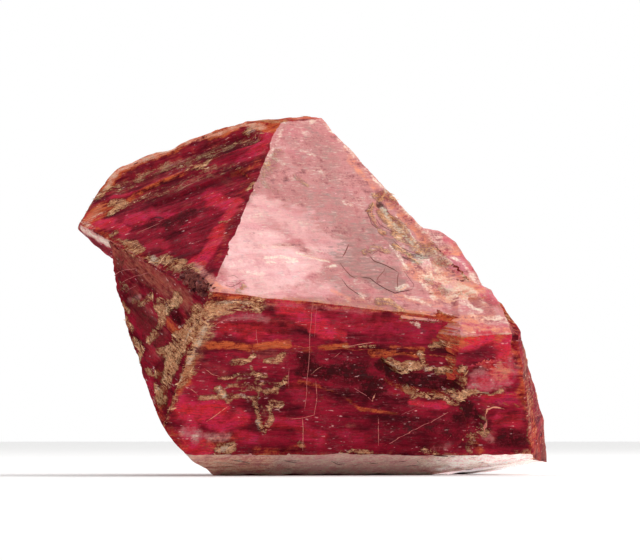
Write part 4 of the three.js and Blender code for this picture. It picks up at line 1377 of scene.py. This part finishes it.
shadow = (veins * 0.5 + grit * 0.5).rise(0.5, 0.6)
tone = spinel.mix(shadow * (0.4 - frostAndSheen.rise(0.2, 0.9) * 0.33), tone, "deepCrimson")
sparks = spinel.noise(spinel.stretch(grown, 3, 9, 1), 1.1, 2).rise(0.65, 0.73)
glints = sparks * clouds.rise(0.44, 0.58)
tone = spinel.mix(glints * 0.75, tone, "highlightPink")

# Painted glow: a pale emission on the thin right end of the bottom strip, the foot under it and two
# luminous spots on the upper right face, as if light came through them.
paintedGlow = spinel.attribute("paintedGlow") * (0.4 + speckled * 0.6)
gloss = frostAndSheen.rise(1.2, 2.2) + frostAndSheen * 0.1 + glints * 0.6 + (speckled * streaked).rise(0.5, 1.0) * 0.6 + 0.1
height = layers * 0.5 + fibres * 0.3 + crusted * grit * 1.2 + blotches * 0.4
spinel.finish(
    crystal,
    Base_Color=tone,
    Roughness=0.22 + crusted * 0.4 + speckled * 0.2,
    IOR=1.72,
    Specular_IOR_Level=0.0,
    Subsurface_Weight=0.3,
    Subsurface_Radius=(1.0, 0.12, 0.14),
    Subsurface_Scale=1.4 * mm,
    Coat_Weight=gloss * (1 - spinel.attribute("rust").rise(0.2, 0.7) * 0.8),
    Coat_Roughness=0.1,
    Emission_Color=spinel.mix(paintedGlow, "unlit", "paleLight"),
    Emission_Strength=0.6,
    Normal=spinel.bump(height, 0.15 * mm),
)

# Dried crust: each grain between olive brown and beige, with fine dirt.
dried = Finish("driedCrust")
dirt = dried.noise(dried.place(), 7, 3, 0.6)
clumps = dried.noise(dried.place(), 2.6, 3, 0.6)
pale = dried.attribute("shade") * 0.6 + (dirt - 0.5) * 0.8 + (clumps - 0.4) * 2.2
tone = dried.mix(pale.rise(0.0, 0.9), "crustOlive", "crustBeige")
dried.finish(
    crust,
    Base_Color=dried.mix(pale.rise(0.75, 1.3), tone, "creamAndHighlight"),
    Roughness=0.55 + dirt * 0.3,
    Normal=dried.bump(dried.noise(dried.place(), 18, 2), 0.02 * mm),
)

# Dark iron grain: a few of its grains carry a painted highlight, a pale haze colour in their base colour.
ironDark = Finish("ironDark")
dirt = ironDark.noise(ironDark.place(), 8, 3, 0.6)
shade = ironDark.attribute("shade") + (dirt - 0.5) * 0.6
tone = ironDark.mix(shade.rise(0.0, 0.7), "deepCrimson", "ironBrown")
ironDark.finish(
    darkSpot,
    Base_Color=ironDark.mix(shade.rise(0.9, 1.25), tone, "haze"),
    Roughness=0.3 + dirt * 0.3,
    Specular_IOR_Level=0.15,
    Normal=ironDark.bump(dirt, 0.03 * mm),
)

# Threads: dark cracks to pale needles, by each one's tone.
needle = Finish("needle")
tone = needle.attribute("tone")
worn = needle.noise(needle.place(), 5, 3, 0.6)
line = needle.mix(tone.rise(0.0, 0.2), "deepCrimson", "ironBrown")
line = needle.mix((tone + (worn - 0.5) * 0.3).rise(0.45, 0.7), line, "haze")
needle.finish(
    needles,
    Base_Color=needle.mix((tone + (worn - 0.5) * 0.5).rise(0.6, 1.1), line, "peach"),
    Roughness=0.35 + worn * 0.3,
    Specular_IOR_Level=0.1,
    Normal=needle.bump(worn, 0.01 * mm),
)
print("materials made")

cameraData = bpy.data.cameras.new("camera")
cameraData.lens = camera["lens"]
cameraData.sensor_width = camera["sensor"]
cameraData.clip_start, cameraData.clip_end = np.array(camera["reach"]) * mm
cameraObject = addObject("camera", cameraData)
_, forward, climb = np.subtract(camera["target"], camera["place"])
cameraObject.location = np.array(camera["place"]) * mm
cameraObject.rotation_euler = (math.pi / 2 + math.atan2(climb, forward), 0, 0)
bpy.context.scene.camera = cameraObject

studio = dict(
    floorSize=3.0,                   # metres
    softboxFrom=(0.17, 0.03, 0.24),  # metres
    softboxSize=0.16,
    softboxPower=0.34,               # watts
    skyBrightest=(0.48, 0.3, 0.78),  # towards the brightest part of the room
    skyDimFrom=-0.3,                 # how far from there it is dimmest, as the cosine of the angle
    skyDim=0.28,
    skyBright=1.25,
)
half = studio["floorSize"] / 2
floorMesh = bpy.data.meshes.new("floor")
corners = [(-half, -half, 0), (half, -half, 0), (half, half, 0), (-half, half, 0)]
floorMesh.from_pydata(corners, [], [(0, 1, 2, 3)])
floor = addObject("floor", floorMesh)
paper = Finish("paper")
paper.finish(
    floor,
    Base_Color=paper.mix(paper.noise(paper.place(), 0.8, 3), "paper", "paperShade"),
    Roughness=0.9,
    Specular_IOR_Level=0.1,
)
floor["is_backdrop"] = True

softboxData = bpy.data.lights.new("softbox", "AREA")
softboxData.size = studio["softboxSize"]
softboxData.energy = studio["softboxPower"]
softbox = addObject("softbox", softboxData)
softbox.location = studio["softboxFrom"]
softbox.rotation_euler = (-softbox.location).to_track_quat("-Z", "Y").to_euler()

# The room: white where the camera sees it, and light that grows towards one side of it.
world = bpy.data.worlds.new("room")
bpy.context.scene.world = world
world.use_nodes = True
room = Graph(world.node_tree)
towards = {0: room.node("ShaderNodeTexCoord", {}, {}, "Generated"), 1: studio["skyBrightest"]}
lean = room.node("ShaderNodeVectorMath", dict(operation="DOT_PRODUCT"), towards, "Value")
light = room.node("ShaderNodeMapRange", {}, {
    "Value": lean,
    "From Min": studio["skyDimFrom"],
    "To Min": studio["skyDim"],
    "To Max": studio["skyBright"],
})
seen = room.node("ShaderNodeLightPath", {}, {}, "Is Camera Ray")
shown = room.node("ShaderNodeMix", {}, {"Factor": seen, "A": light, "B": 1.0})
room.connect(room.tree.nodes["Background"], {"Color": (1, 1, 1, 1), "Strength": shown})
bpy.context.scene.view_settings.view_transform = "Standard"
print("studio made")

sizes = {"cad": cadBox, "visual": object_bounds()}
sizes = {name: [list(map(float, corner)) for corner in box] for name, box in sizes.items()}
